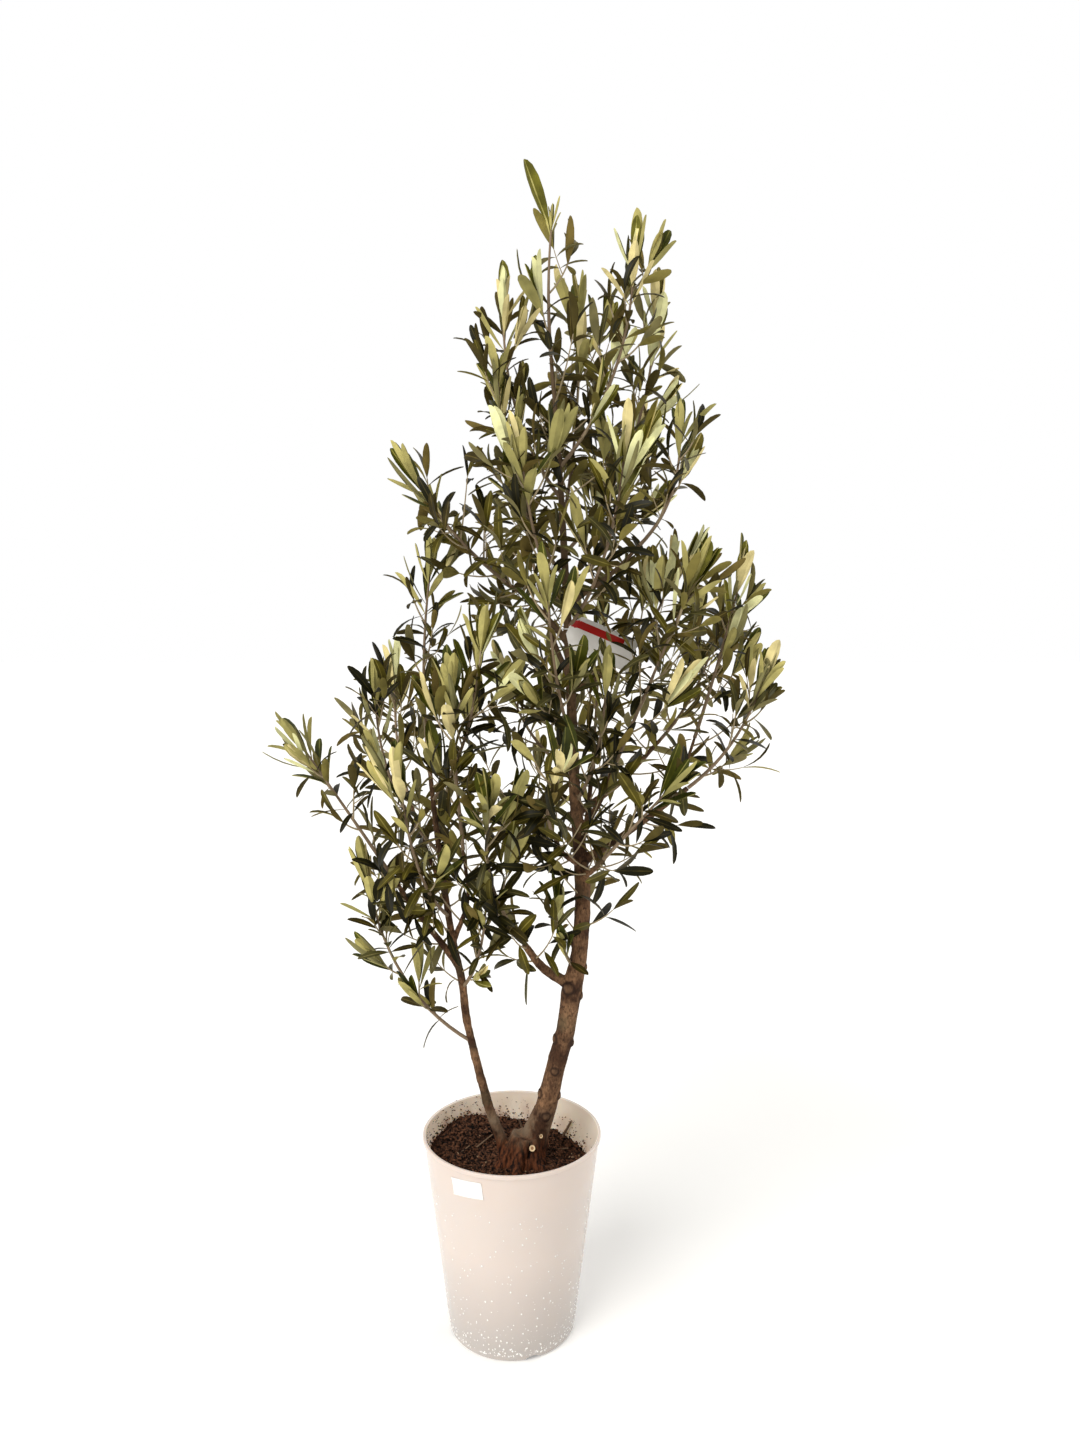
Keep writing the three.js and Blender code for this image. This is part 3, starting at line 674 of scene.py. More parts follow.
# Each bough has its name, parent, height on the parent, bend, tip and root radius
boughs = (
    ("fork_left", "trunk", 0.469, (0.043, -0.01, 0.495), (0.017, -0.02, 0.531), 0.0074),
    ("whorl_left", "trunk", 0.63, (0.069, -0.03, 0.653), (0.058, -0.045, 0.675), 0.0044),
    ("low_right", "trunk", 0.616, (0.108, -0.022, 0.631), (0.12, -0.037, 0.648), 0.005),
    ("right_outer", "trunk", 0.634, (0.162, -0.002, 0.682), (0.233, 0.0, 0.735), 0.0056),
    ("right_inner", "trunk", 0.668, (0.117, -0.008, 0.72), (0.132, -0.015, 0.758), 0.005),
    ("right_middle", "right_outer", 0.716, (0.233, 0.02, 0.765), (0.246, 0.032, 0.798), 0.0034),
    ("middle_right", "trunk", 0.866, (0.106, 0.008, 0.875), (0.133, 0.016, 0.893), 0.004),
    ("right_shoulder", "trunk", 0.975, (0.128, -0.008, 1.013), (0.166, -0.012, 1.051), 0.004),
    ("left_shoulder", "trunk", 0.925, (0.033, -0.008, 0.974), (-0.006, -0.014, 1.004), 0.004),
    ("back_low", "trunk", 0.652, (0.104, 0.062, 0.688), (0.112, 0.11, 0.745), 0.0048),
    ("back_high", "trunk", 0.88, (0.058, 0.044, 0.925), (0.038, 0.09, 0.999), 0.004),
    ("back_right", "trunk", 0.7, (0.15, 0.062, 0.735), (0.209, 0.11, 0.788), 0.0048),
    ("left_low", "second_stem", 0.5, (-0.127, -0.02, 0.579), (-0.154, -0.03, 0.624), 0.0046),
    ("left_thin", "second_stem", 0.53, (-0.056, -0.032, 0.593), (-0.06, -0.05, 0.663), 0.0036),
    ("left_back", "second_stem", 0.6, (-0.116, 0.042, 0.64), (-0.147, 0.1, 0.703), 0.0038),
)
bough_taper = 0.62
collar_swell = 0.35
collar_fade = 7
stump_place = (0.014, -0.004)
stump_size = (0.033, 0.023, 0.027)
# Rings stand where a pair of leaves once grew, knots where a shoot was rubbed off. Each knot has its
# height, the way it faces and its size
ring_heights = (0.2925, 0.341, 0.378, 0.421, 0.447, 0.520, 0.566, 0.604, 0.690, 0.742, 0.800, 0.905)
ring_swell = 0.0006
ring_length = 0.0032
ring_full_radius = 0.012
knots = (
    (0.2925, -80, 0.0050), (0.3200, -172, 0.0056), (0.3175, -8, 0.0050), (0.3550, -95, 0.0046),
    (0.3960, -174, 0.0060), (0.3910, -4, 0.0050), (0.4570, -8, 0.0050), (0.4690, -120, 0.0070),
    (0.4950, -2, 0.0044), (0.5400, 60, 0.0040), (0.6330, -60, 0.0048), (0.7000, 170, 0.0036),
    (0.7800, -20, 0.0032), (0.3350, 95, 0.0054), (0.4200, 70, 0.0050), (0.5250, 178, 0.0040),
)
knot_hollow = 0.42
knot_groove = 1.15
knot_sink = 0.3
heart_size = 0.8
heart_stretch = 1.6
# Ridges run down from the stump to the roots, each with the way it faces and its reach. They rise
# over two bends: the share of the reach and the rise
root_ridges = ((-105, 0.034), (-35, 0.034), (30, 0.032), (95, 0.026), (155, 0.034), (-160, 0.035))
ridge_bends = ((1, (0, 0, 0)), (0.62, (0, 0, 0.014)), (0.3, (0.006, 0, 0.042)))
ridge_radius = 0.007
ridge_gain = 0.004
wood_grain_size = 0.0015
wood_sink = 0.004
wood_flat = 0.0005
stout_radius = 0.014
# Long bumps in the bark and fibres at the stump: how close across and along the wood, how quickly
# they fade from one octave to the next, how many octaves and how deep
bark_ridges = (170, 60, 0.9, 4, 0.0006)
stump_fibres = (330, 40, 0.8, 3, 0.0022)
fibre_top = 0.268
fibre_fade = 0.03


def limb(path, radius_at, sides=20, steps=60):
    """A limb drawn as a round cord whose radius changes along it, then made a mesh."""
    piece = added(bpy.ops.curve.primitive_bezier_curve_add)
    curve = piece.data
    curve.splines.clear()
    spline = curve.splines.new("POLY")
    spline.points.add(steps)
    for i in range(steps + 1):
        place = point_at(path, i / steps)
        spline.points[i].co = (*place, 1)
        spline.points[i].radius = radius_at(i / steps, place[2])
    curve.dimensions = "3D"
    curve.bevel_depth = 1
    curve.bevel_resolution = sides // 4
    curve.use_fill_caps = True
    bpy.ops.object.convert(target="MESH")
    return bpy.context.object


def thickness_at(table, height):
    return float(np.interp(height, [row[0] for row in table], [row[1] for row in table]))


def swollen(table, height):
    """The radius of a stem, a little thicker at every leaf ring."""
    rings = sum(math.exp(-(((height - ring) / ring_length) ** 2)) for ring in ring_heights)
    radius = thickness_at(table, height)
    return radius + rings * ring_swell * min(1, radius / ring_full_radius)


def fused(parts):
    """Several pieces joined into the first of them."""
    bpy.ops.object.select_all(action="DESELECT")
    for part in parts:
        part.select_set(True)
    bpy.context.view_layer.objects.active = parts[0]
    bpy.ops.object.join()
    bpy.ops.object.transform_apply(location=True, rotation=True, scale=True)
    return parts[0]


def bumps_at(place, across, along, fading, octaves, depth):
    """How far the wood stands out at a place, in bumps that run along it."""
    stretched = Vector((place.x * across, place.y * across, place.z * along))
    return noise.fractal(stretched, fading, 2.0, octaves) * depth


limb_paths = {"trunk": smooth_path(trunk_bends), "second_stem": smooth_path(second_bends)}
limb_radii = {
    "trunk": lambda share, height: swollen(trunk_thickness, height),
    "second_stem": lambda share, height: swollen(second_thickness, height),
}
for name, parent, at, bend, tip, root in boughs:
    foot = point_at(limb_paths[parent], share_at_height(limb_paths[parent], at))
    limb_paths[name] = smooth_path((foot, bend, tip))
    limb_radii[name] = lambda share, height, root=root: (
        root * (1 - (1 - bough_taper) * share) + root * collar_swell * math.exp(-share * collar_fade)
    )
wood_parts = [limb(limb_paths[name], limb_radii[name]) for name in limb_paths]
for turn, reach in root_ridges:
    angle = math.radians(turn)
    foot = np.array([*stump_place, soil_level - wood_sink])
    outward = np.array([math.cos(angle), math.sin(angle), 0])
    bends = [foot + outward * reach * share + rise for share, rise in ridge_bends]
    ridge = limb(smooth_path(bends), lambda share, height: ridge_radius + ridge_gain * share, 16, 20)
    wood_parts.append(ridge)
knot_places = []
for height, turn, size in knots:
    centre = point_at(limb_paths["trunk"], share_at_height(limb_paths["trunk"], height))
    out = thickness_at(trunk_thickness, height) - size * knot_sink
    angle = math.radians(turn)
    knot_place = (centre[0] + out * math.cos(angle), centre[1] + out * math.sin(angle), height)
    knot_places.append((knot_place, size))
    wood_parts.append(added(
        bpy.ops.mesh.primitive_torus_add, major_segments=24, minor_segments=12,
        major_radius=size * (1 - knot_hollow), minor_radius=size * knot_hollow,
        location=knot_place, rotation=(0, math.pi / 2, angle),
    ))
    wood_parts.append(added(
        bpy.ops.mesh.primitive_ico_sphere_add, subdivisions=3, radius=size * heart_size,
        scale=(1, 1, heart_stretch), location=knot_place,
    ))
wood_parts.append(added(
    bpy.ops.mesh.primitive_uv_sphere_add, segments=48, ring_count=24, radius=1,
    location=(*stump_place, soil_level), scale=stump_size,
))
wood = fused(wood_parts)
grow_together = wood.modifiers.new("grow_together", "REMESH")
grow_together.mode = "VOXEL"
grow_together.voxel_size = wood_grain_size
ease = wood.modifiers.new("ease", "SMOOTH")
ease.factor = 0.5
ease.iterations = 2
apply_modifiers(wood)
bpy.ops.object.mode_set(mode="EDIT")
bpy.ops.mesh.select_all(action="SELECT")
bpy.ops.mesh.bisect(
    plane_co=(0, 0, soil_level - wood_sink), plane_no=(0, 0, 1), clear_inner=True, use_fill=True
)
bpy.ops.object.mode_set(mode="OBJECT")
normals = [vertex.normal.copy() for vertex in wood.data.vertices]
for vertex, normal in zip(wood.data.vertices, normals):
    place = vertex.co
    if place.z < soil_level - wood_sink + wood_flat:
        continue
    stout = min(1, thickness_at(trunk_thickness, place.z) / stout_radius)
    low_down = min(max((fibre_top - place.z) / fibre_fade, 0), 1)
    out = bumps_at(place, *bark_ridges) * stout + bumps_at(place, *stump_fibres) * low_down
    vertex.co = place + normal * out

# Every knot has a dark groove round a paler heart, kept as an attribute of the wood's points
groove_width = 0.28
heart_width = 0.6
wood_points = np.array([vertex.co[:] for vertex in wood.data.vertices])
groove, heart = np.zeros(len(wood_points)), np.zeros(len(wood_points))
for place, size in knot_places:
    away = np.linalg.norm(wood_points - place, axis=1) / size
    groove = np.maximum(groove, np.exp(-(((away - knot_groove) / groove_width) ** 2)))
    heart = np.maximum(heart, np.exp(-((away / heart_width) ** 2)))
for name, values in (("groove", groove), ("heart", heart)):
    wood.data.attributes.new(name, "FLOAT", "POINT").data.foreach_set("value", values)

# Over the mottled bark lie dark flecks, dark grain and a grey film. Each pattern has its scale and
# detail, its scale along the height, where it begins and is full, and its colour
bark_layers = (
    (260, 5, 0.6, 0.54, 0.72, (46, 29, 19)),
    (380, 3, 0.55, 0.36, 0.90, (38, 24, 15)),
    (24, 4, 1, 0.54, 0.84, (98, 86, 62)),
)
# Heights between which the trunk turns grey and back, the stump red and the young wood pale
grey_from = (0.252, 0.266)
grey_until = (0.306, 0.282)
red_stump = (0.272, 0.248)
young_wood = (0.62, 1.1)
bark = new_material("bark", (84, 60, 42), 0.85, {"Specular IOR Level": 0.18})
mottle = patches(bark, 40, 7, 0.40, 0.60, (1, 1, 0.8))
bark_tone = mixed(bark, mottle, (74, 49, 33), (142, 106, 76))
for scale, detail, stretch, low, high, tone in bark_layers:
    bark_tone = mixed(bark, patches(bark, scale, detail, low, high, (1, 1, stretch)), bark_tone, tone)
grey_foot = product(bark, height_share(bark, *grey_from), height_share(bark, *grey_until))
bark_tone = mixed(bark, product(bark, grey_foot, mottle), bark_tone, (124, 106, 86))
fibre_red = mixed(bark, patches(bark, 120, 7, 0.38, 0.64, (2.2, 2.2, 0.45)), (24, 11, 6), (104, 59, 34))
bark_tone = mixed(bark, height_share(bark, *red_stump), bark_tone, fibre_red)
young_tone = mixed(bark, speckle(bark, 70, 5, (1, 1, 0.5)), (74, 56, 40), (122, 103, 78))
bark_tone = mixed(bark, height_share(bark, *young_wood), bark_tone, young_tone)
for name, tone in (("groove", (40, 24, 16)), ("heart", (128, 98, 72))):
    near_knot = add_node(bark, "ShaderNodeAttribute", attribute_name=name).outputs["Fac"]
    bark_tone = mixed(bark, near_knot, bark_tone, tone)
wear(bark, bark_tone, "Base Color")
relief(bark, speckle(bark, 300, 8, (1, 1, 0.5)), 0.0016)
settle(wood, "trunk_and_boughs", bark, 60)
limb_nodes = ["trunk", "second_stem"] + ["bough_" + row[0] for row in boughs]
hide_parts(*limb_nodes)

# Pruning cuts: where two low shoots were cut off, short stubs of the living wood are left. Each ends
# in a pale, slightly cupped face of heartwood with a browner pith.
pruning_cuts = (
    ((0.027, -0.0215, 0.253), (0.15, -1, 0.55), 0.0040),
    ((0.038, -0.0175, 0.268), (0.5, -0.9, 0.35), 0.0026),
)
stub_length = 2.4
rim_width = 0.16
cup_depth = 0.12
growth_width = 0.3

wood_tones = ((206, 172, 126), (240, 218, 178))
pith_tones = ((118, 82, 50), (176, 134, 92))
heartwood = grained("heartwood", (224, 196, 152), 0.75, (420, 4), wood_tones, (900, 4, 0.0003))
pith = grained("pith", (150, 110, 72), 0.8, (420, 4), pith_tones, (900, 4, 0.0003))
cut_finishes = (heartwood, pith, bark)
cut_parts = []
for place, facing, size in pruning_cuts:
    direction = Vector(facing).normalized()
    stub = added(
        bpy.ops.mesh.primitive_cylinder_add, vertices=28, radius=size, depth=size * stub_length,
        location=Vector(place), rotation=direction.to_track_quat("Z", "Y").to_euler(),
    )
    bpy.ops.object.mode_set(mode="EDIT")
    bpy.ops.mesh.select_all(action="DESELECT")
    bpy.ops.object.mode_set(mode="OBJECT")
    top = max(stub.data.polygons, key=lambda face: face.center.z)
    top.select = True
    bpy.ops.object.mode_set(mode="EDIT")
    bpy.ops.mesh.select_mode(type="FACE")
    bpy.ops.mesh.inset(thickness=size * rim_width)
    bpy.ops.transform.translate(value=direction * -size * cup_depth)
    bpy.ops.mesh.inset(thickness=size * growth_width)
    bpy.ops.object.mode_set(mode="OBJECT")
    bpy.ops.object.transform_apply(location=True, rotation=True, scale=True)
    for finish in cut_finishes:
        stub.data.materials.append(finish)
    for face in stub.data.polygons:
        inner = face.select and face.normal.dot(direction) > 0.9
        face.material_index = 1 if inner else 0 if face.normal.dot(direction) > 0.3 else 2
    cut_parts.append(stub)
cuts = fused(cut_parts)
cut_kinds = [face.material_index for face in cuts.data.polygons]
settle(cuts, "pruning_cuts", cut_finishes, 40)
cuts.data.polygons.foreach_set("material_index", cut_kinds)

# Hang tag: a waterproof card with a plain red band and nothing written on it. Its punched end is
# looped round the trunk on a thin plastic ring, and the card curls and hangs down to the right.
tag_height = 0.944
tag_length = 0.092
tag_width = 0.044
tag_slope = 23
tag_thickness = 0.0005
tag_curl = 0.006
tag_tilt = 0.75
# The card widens from its punched end, and it curls along its length and up to its edges
tag_neck = 0.3
tag_widening = 6
tag_wave = 3.6
tag_cup = 2.2
tag_stiff_end = 5
tag_band = (0.62, 0.86, 0.80)
ring_wire = 0.0009
ring_room = 0.4
card_room = 1.3

tag_centre = point_at(limb_paths["trunk"], share_at_height(limb_paths["trunk"], tag_height))
ring_radius = thickness_at(trunk_thickness, tag_height) + ring_wire * (1 + ring_room)
tag_ring = added(
    bpy.ops.mesh.primitive_torus_add, major_segments=40, minor_segments=10,
    major_radius=ring_radius, minor_radius=ring_wire, location=tag_centre,
)
tag_piece = added(bpy.ops.mesh.primitive_grid_add, x_subdivisions=46, y_subdivisions=22, size=1)
slope = math.radians(-tag_slope)
for vertex in tag_piece.data.vertices:
    along, up_share = vertex.co.x + 0.5, vertex.co.y
    neck = min(1, tag_neck + along * tag_widening)
    x, z = along * tag_length, up_share * tag_width * neck
    curl = tag_curl * (math.sin(along * tag_wave) + tag_cup * up_share * up_share * along)
    curl -= z * tag_tilt * min(1, along * tag_stiff_end)
    vertex.co = (
        tag_centre[0] + x * math.cos(slope) - z * math.sin(slope),
        tag_centre[1] - ring_radius - ring_wire * card_room - curl,
        tag_height + x * math.sin(slope) + z * math.cos(slope),
    )
thicken = tag_piece.modifiers.new("card", "SOLIDIFY")
thicken.thickness = tag_thickness
thicken.offset = 0
apply_modifiers(tag_piece)
fused((tag_piece, tag_ring))
tag_card = grained(
    "tag_card", (226, 223, 217), 0.35, (50, 4), ((250, 247, 243), (236, 232, 225)), (30, 3, 0.0003)
)
tag_red = grained("tag_red", (196, 34, 30), 0.35, (70, 4), ((200, 36, 32), (178, 28, 26)))
settle(tag_piece, "hang_tag_card", (tag_card, tag_red), 40)
for face in tag_piece.data.polygons:
    x, z = face.center.x - tag_centre[0], face.center.z - tag_height
    along = (x * math.cos(slope) + z * math.sin(slope)) / tag_length
    high = (z * math.cos(slope) - x * math.sin(slope)) / tag_width + 0.5
    face.material_index = 1 if along < tag_band[2] and tag_band[0] < high < tag_band[1] else 0
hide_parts("hang_tag")

# Shoots: each foliage mass grows on from a bough's tip or from a stem. Its stem bows out and up, and
# twigs open from it at a golden turn, with shorter side twigs on the long ones.
# Each mass has its name, parent limb, height on it or None for its tip, stem tip, reach, seed and
# the share of its stem beyond which it is bare
masses = (
    ("leader", "trunk", None, (0.052, 0.0, 1.446), 0.092, 1, 0.5),
    ("top_right", "trunk", 1.15, (0.155, -0.025, 1.398), 0.092, 2, 1),
    ("top_left", "trunk", 1.11, (-0.009, 0.005, 1.348), 0.084, 3, 1),
    ("upper_right", "trunk", 1.04, (0.19, 0.04, 1.356), 0.084, 4, 1),
    ("upper_left", "trunk", 1.01, (-0.014, -0.03, 1.249), 0.082, 5, 1),
    ("upper_front", "trunk", 0.96, (0.017, -0.115, 1.138), 0.096, 6, 1),
    ("upper_back", "trunk", 1.08, (0.092, 0.09, 1.37), 0.11, 7, 1),
    ("right_shoulder", "right_shoulder", None, (0.216, -0.015, 1.188), 0.082, 8, 1),
    ("left_shoulder", "left_shoulder", None, (-0.112, -0.04, 1.119), 0.09, 9, 1),
    ("upper_right_front", "trunk", 0.945, (0.137, -0.11, 1.139), 0.096, 10, 1),
    ("upper_right_back", "trunk", 0.99, (0.174, 0.13, 1.212), 0.105, 11, 1),
    ("upper_left_back", "back_high", None, (0.008, 0.18, 1.164), 0.11, 12, 1),
    ("middle_front", "trunk", 0.8, (0.047, -0.145, 0.973), 0.096, 13, 1),
    ("middle_right", "middle_right", None, (0.211, 0.05, 1.011), 0.092, 14, 1),
    ("right_inner", "right_inner", None, (0.226, -0.05, 0.994), 0.1, 15, 1),
    ("right_middle", "right_middle", None, (0.3, 0.02, 1.0), 0.09, 16, 1),
    ("far_right", "right_outer", None, (0.322, -0.02, 0.868), 0.084, 17, 1),
    ("right_back", "back_right", None, (0.299, 0.19, 0.93), 0.115, 18, 1),
    ("middle_back", "back_low", None, (0.129, 0.21, 0.96), 0.115, 19, 1),
    ("left_middle", "second_stem", None, (-0.105, 0.0, 1.014), 0.084, 20, 1),
    ("left_inner", "second_stem", 0.72, (-0.036, -0.075, 0.917), 0.092, 21, 1),
    ("left_outer", "second_stem", 0.65, (-0.175, -0.015, 0.846), 0.09, 22, 1),
    ("far_left", "left_low", None, (-0.262, -0.035, 0.787), 0.076, 23, 1),
    ("lower_left", "second_stem", 0.392, (-0.183, -0.045, 0.62), 0.07, 24, 1),
    ("left_front", "second_stem", 0.565, (-0.127, -0.125, 0.745), 0.092, 25, 1),
    ("centre_left", "fork_left", None, (-0.022, -0.12, 0.723), 0.096, 26, 1),
    ("centre_low", "whorl_left", None, (0.064, -0.125, 0.773), 0.092, 27, 1),
    ("low_right", "low_right", None, (0.188, -0.11, 0.743), 0.092, 28, 1),
    ("left_back", "left_back", None, (-0.178, 0.18, 0.871), 0.11, 29, 1),
    ("back_centre", "trunk", 0.675, (-0.021, 0.15, 0.705), 0.11, 30, 1),
    ("left_thin", "left_thin", None, (-0.073, -0.08, 0.856), 0.09, 31, 1),
    ("inner_right", "trunk", 0.715, (0.12, -0.06, 0.867), 0.086, 32, 1),
    ("fork_sprout", "trunk", 0.49, (0.059, -0.025, 0.582), 0.048, 33, 1),
    ("stem_sprout", "second_stem", 0.468, (-0.031, -0.055, 0.593), 0.062, 34, 1),
    ("inner_left", "trunk", 0.755, (-0.002, 0.03, 0.864), 0.096, 35, 1),
)
clearance = 0.0003
stem_rule = dict(radius=0.0026, tip_radius=0.0013, leaving=0.7, bow=0.5)
twig_rule = dict(
    radius=0.00135, tip_radius=0.0008, spacing=0.034, fewest=3, start=0.12, span=0.8, jitter=0.1,
    turn=2.4, turn_spread=0.5, open=(35, 55), margin=0.042, shortest=0.020, lengths=(0.7, 1.5),
    full=1.1, fade=0.45, run=0.8, lift=0.3,
)
side_rule = dict(
    shortest_parent=0.042, places=(0.3, 0.58), missing=0.4, length=0.55, lengths=(0.7, 1.2),
    turn=1.9, open=48, lift=0.2, tip=0.75,
)
leaf_room = 0.001
middle_room = 0.0015
twig_room = 0.002
up = np.array([0, 0, 1.0])


def sideways(direction, angle):
    """A way square to a direction, turned about it by an angle."""
    reference = np.array([0, 1.0, 0]) if abs(direction[1]) < 0.8 else np.array([1.0, 0, 0])
    first = unit(np.cross(direction, reference))
    second = np.cross(direction, first)
    return first * math.cos(angle) + second * math.sin(angle)


def opened(along, aside, degrees):
    """The way of something that opens from its parent towards one side."""
    angle = math.radians(degrees)
    return unit(along * math.cos(angle) + aside * math.sin(angle))


def bowed_path(foot, start, tip, bow, steps=16):
    """A path that sets out one way and bows over to its tip."""
    control = foot + start * np.linalg.norm(tip - foot) * bow
    shares = np.linspace(0, 1, steps + 1)[:, None]
    return measured((1 - shares) ** 2 * foot + 2 * shares * (1 - shares) * control + shares**2 * tip)


def branched(path, share, turn, degrees):
    """Where something leaves a shoot, the way it sets out, and the way the shoot goes there."""
    along = tangent_at(path, share)
    return point_at(path, share), opened(along, sideways(along, turn), degrees), along


def new_shoot(foot, start, long, run, lift):
    """The path of a young shoot, which sets out one way and lifts to the light."""
    return bowed_path(foot, start, foot + start * long * run + up * long * lift, stem_rule["bow"])


def stem_of(parent, at, tip):
    """The stem of a mass: it goes on from a limb's tip or leaves the limb at a height."""
    path = limb_paths[parent]
    share = 1 if at is None else share_at_height(path, at)
    foot = point_at(path, share)
    start = tangent_at(path, share)
    if at is not None:
        straight = unit(np.array(tip) - foot)
        start = unit(straight * stem_rule["leaving"] + straight * [1, 1, 0])
    return bowed_path(foot + start * clearance, start, np.array(tip), stem_rule["bow"])


def twigs_of(stem, reach, seed, bare):
    """The twigs of a stem, evenly spaced and shorter towards its tip."""
    draw = seeded_random(seed)
    rule = twig_rule
    count = max(rule["fewest"], math.floor(stem[1][-1] / rule["spacing"]))
    room = max(reach - rule["margin"], rule["shortest"])
    twigs = []
    for i in range(count):
        place = i + draw(rule["jitter"], 1 - rule["jitter"])
        share = rule["start"] + rule["span"] * place / count
        turn = i * rule["turn"] + draw(-rule["turn_spread"], rule["turn_spread"]) + seed
        opening = draw(*rule["open"])
        long = room * draw(*rule["lengths"]) * (rule["full"] - rule["fade"] * share)
        if share > bare:
            continue
        foot, start, _ = branched(stem, share, turn, opening)
        twigs.append(new_shoot(foot, start, long, rule["run"], rule["lift"]))
    return twigs


def side_twigs_of(twig, draw):
    """One or two side twigs for a twig that is long enough; some are missing."""
    rule = side_rule
    long = twig[1][-1]
    twigs = []
    for number, share in enumerate(rule["places"] if long >= rule["shortest_parent"] else ()):
        turn = draw(0, 2 * math.pi) + number * rule["turn"]
        foot, start, _ = branched(twig, share, turn, rule["open"])
        size = long * rule["length"] * draw(*rule["lengths"])
        if draw(0, 1) >= rule["missing"]:
            twigs.append(new_shoot(foot, start, size, 1, rule["lift"]))
    return twigs


box_low, box_high = (np.array(corner[:]) for corner in cad_box)
# The stretches of wood that show in front: the limb, from and to what height, how wide it is kept
# clear, and the share of the leaves before it that stay
clear_stretches = (("trunk", 0.56, 0.85, 0.020, 0.35), ("second_stem", 0.42, 0.78, 0.013, 0.30))


def sizes_along(name):
    points = limb_paths[name][0]
    return [limb_radii[name](i / (len(points) - 1), place[2]) for i, place in enumerate(points)]


limb_points = np.concatenate([limb_paths[name][0] for name in limb_paths])
limb_sizes = np.concatenate([sizes_along(name) for name in limb_paths])


def meets_limb(point, room):
    """Whether a point is within some room of a limb's bark."""
    return bool(np.any(np.linalg.norm(limb_points - point, axis=1) < limb_sizes + room))


def hides_wood(point, luck):
    """Whether a leaf stands before a stretch of wood that shows between the lower leaves."""
    for name, low, high, half_width, kept in clear_stretches:
        path = limb_paths[name][0]
        near = path[np.abs(path[:, 2] - point[2]).argmin()]
        before = point[1] < near[1] and abs(point[0] - near[0]) < half_width
        if low < point[2] < high and before and luck > kept:
            return True
    return False


def leaves_box(point):
    """Whether a point stands out of the box that the solid masses reach to."""
    return bool(np.any(point < box_low) or np.any(point > box_high))


def distance_to(path, point):
    """How far a point is from the nearest place on a path."""
    points = path[0]
    step = points[1:] - points[:-1]
    share = np.clip(((point - points[:-1]) * step).sum(1) / (step * step).sum(1), 0, 1)
    return np.linalg.norm(points[:-1] + step * share[:, None] - point, axis=1).min()


# Leaves: leathery olive leaves in opposite pairs, each pair a quarter turn from the last. Old ones
# stand off the shoot and curl back, dark above; the young tuft at the tip stands up like a cup and
# shows its pale undersides.
leaf_rule = dict(
    young_length=0.066, old_length=0.052, long_length=0.078, lengths=(0.78, 1.14), start=0.10,
    gap=0.0198, offset=0.4, open=(82, 38), open_power=1.7, open_spread=14, turn_spread=0.4,
    fallen=(0.66, 0.04), young_share=0.74, young_closed=0.72, long_share=0.84, long_chance=0.75,
    long_open=(26, 48), tuft=5, tuft_gap=0.0075, tuft_open=(2, 13), tuft_open_step=7,
    tuft_spread=0.5, full_reach=0.092, smallest=0.88,
)
# Sprigs are short leafy shoots out of the older wood: each row has its limb or mass, the first and
# last place on it, how many there are, their length and seed
sprigs = (
    ("trunk", 0.36, 0.64, 5, 0.055, 61),
    ("second_stem", 0.42, 0.96, 10, 0.050, 62),
    ("fork_left", 0.60, 0.95, 4, 0.052, 63),
    ("whorl_left", 0.30, 0.95, 7, 0.052, 64),
    ("low_right", 0.16, 0.98, 8, 0.050, 65),
    ("right_outer", 0.22, 0.98, 4, 0.055, 66),
    ("right_inner", 0.30, 0.98, 3, 0.050, 67),
    ("right_middle", 0.20, 0.95, 2, 0.050, 68),
    ("left_low", 0.20, 0.98, 8, 0.055, 69),
    ("left_thin", 0.20, 0.98, 6, 0.050, 70),
    ("left_back", 0.30, 0.98, 3, 0.050, 71),
    ("back_low", 0.35, 0.98, 3, 0.050, 72),
    ("back_right", 0.30, 0.98, 3, 0.055, 73),
    ("back_high", 0.35, 0.98, 4, 0.050, 74),
    ("left_shoulder", 0.25, 0.98, 7, 0.052, 75),
    ("trunk", 0.80, 0.97, 8, 0.060, 76),
    ("foliage_left_shoulder", 0.02, 0.62, 6, 0.050, 77),
    ("trunk", 0.29, 0.36, 4, 0.056, 80),
)
sprig_rule = dict(jitter=0.1, turn_spread=0.5, open=(50, 76), lengths=(0.6, 1.3), tip=0.8)
strong_share = 0.42
strong_vigour = 0.8
weak_vigour = 0.55
side_vigour = 0.5
# Each kind has its outline, width for its length, fold, bend and the colours of its upper side, rib
# and underside
leaf_kinds = {
    "fresh": ("blunt", (0.18, 0.26), 0.52, (-0.55, -0.05), (131, 126, 45), (231, 221, 139), (250, 248, 184)),
    "straw": ("blunt", (0.17, 0.25), 0.54, (-0.50, 0.0), (118, 108, 41), (223, 203, 131), (244, 227, 160)),
    "young": ("blunt", (0.17, 0.25), 0.46, (-0.45, 0.2), (87, 90, 24), (178, 168, 86), (201, 190, 116)),
    "sage": ("blunt", (0.17, 0.24), 0.42, (-0.35, 0.3), (70, 75, 24), (158, 151, 81), (175, 167, 101)),
    "long": ("slim", (0.07, 0.11), 0.30, (-1.2, -0.4), (79, 75, 30), (133, 125, 71), (139, 133, 86)),
    "middle": ("slim", (0.18, 0.27), 0.24, (0.05, 0.8), (92, 83, 24), (141, 129, 60), (148, 136, 71)),
    "grey": ("slim", (0.17, 0.25), 0.20, (0.1, 1.0), (77, 73, 36), (131, 121, 75), (143, 134, 88)),
    "brown": ("slim", (0.16, 0.25), 0.18, (0.1, 1.1), (64, 54, 16), (111, 96, 45), (124, 107, 54)),
    "old": ("slim", (0.16, 0.25), 0.16, (0.2, 1.2), (33, 31, 8), (76, 66, 28), (88, 77, 36)),
}
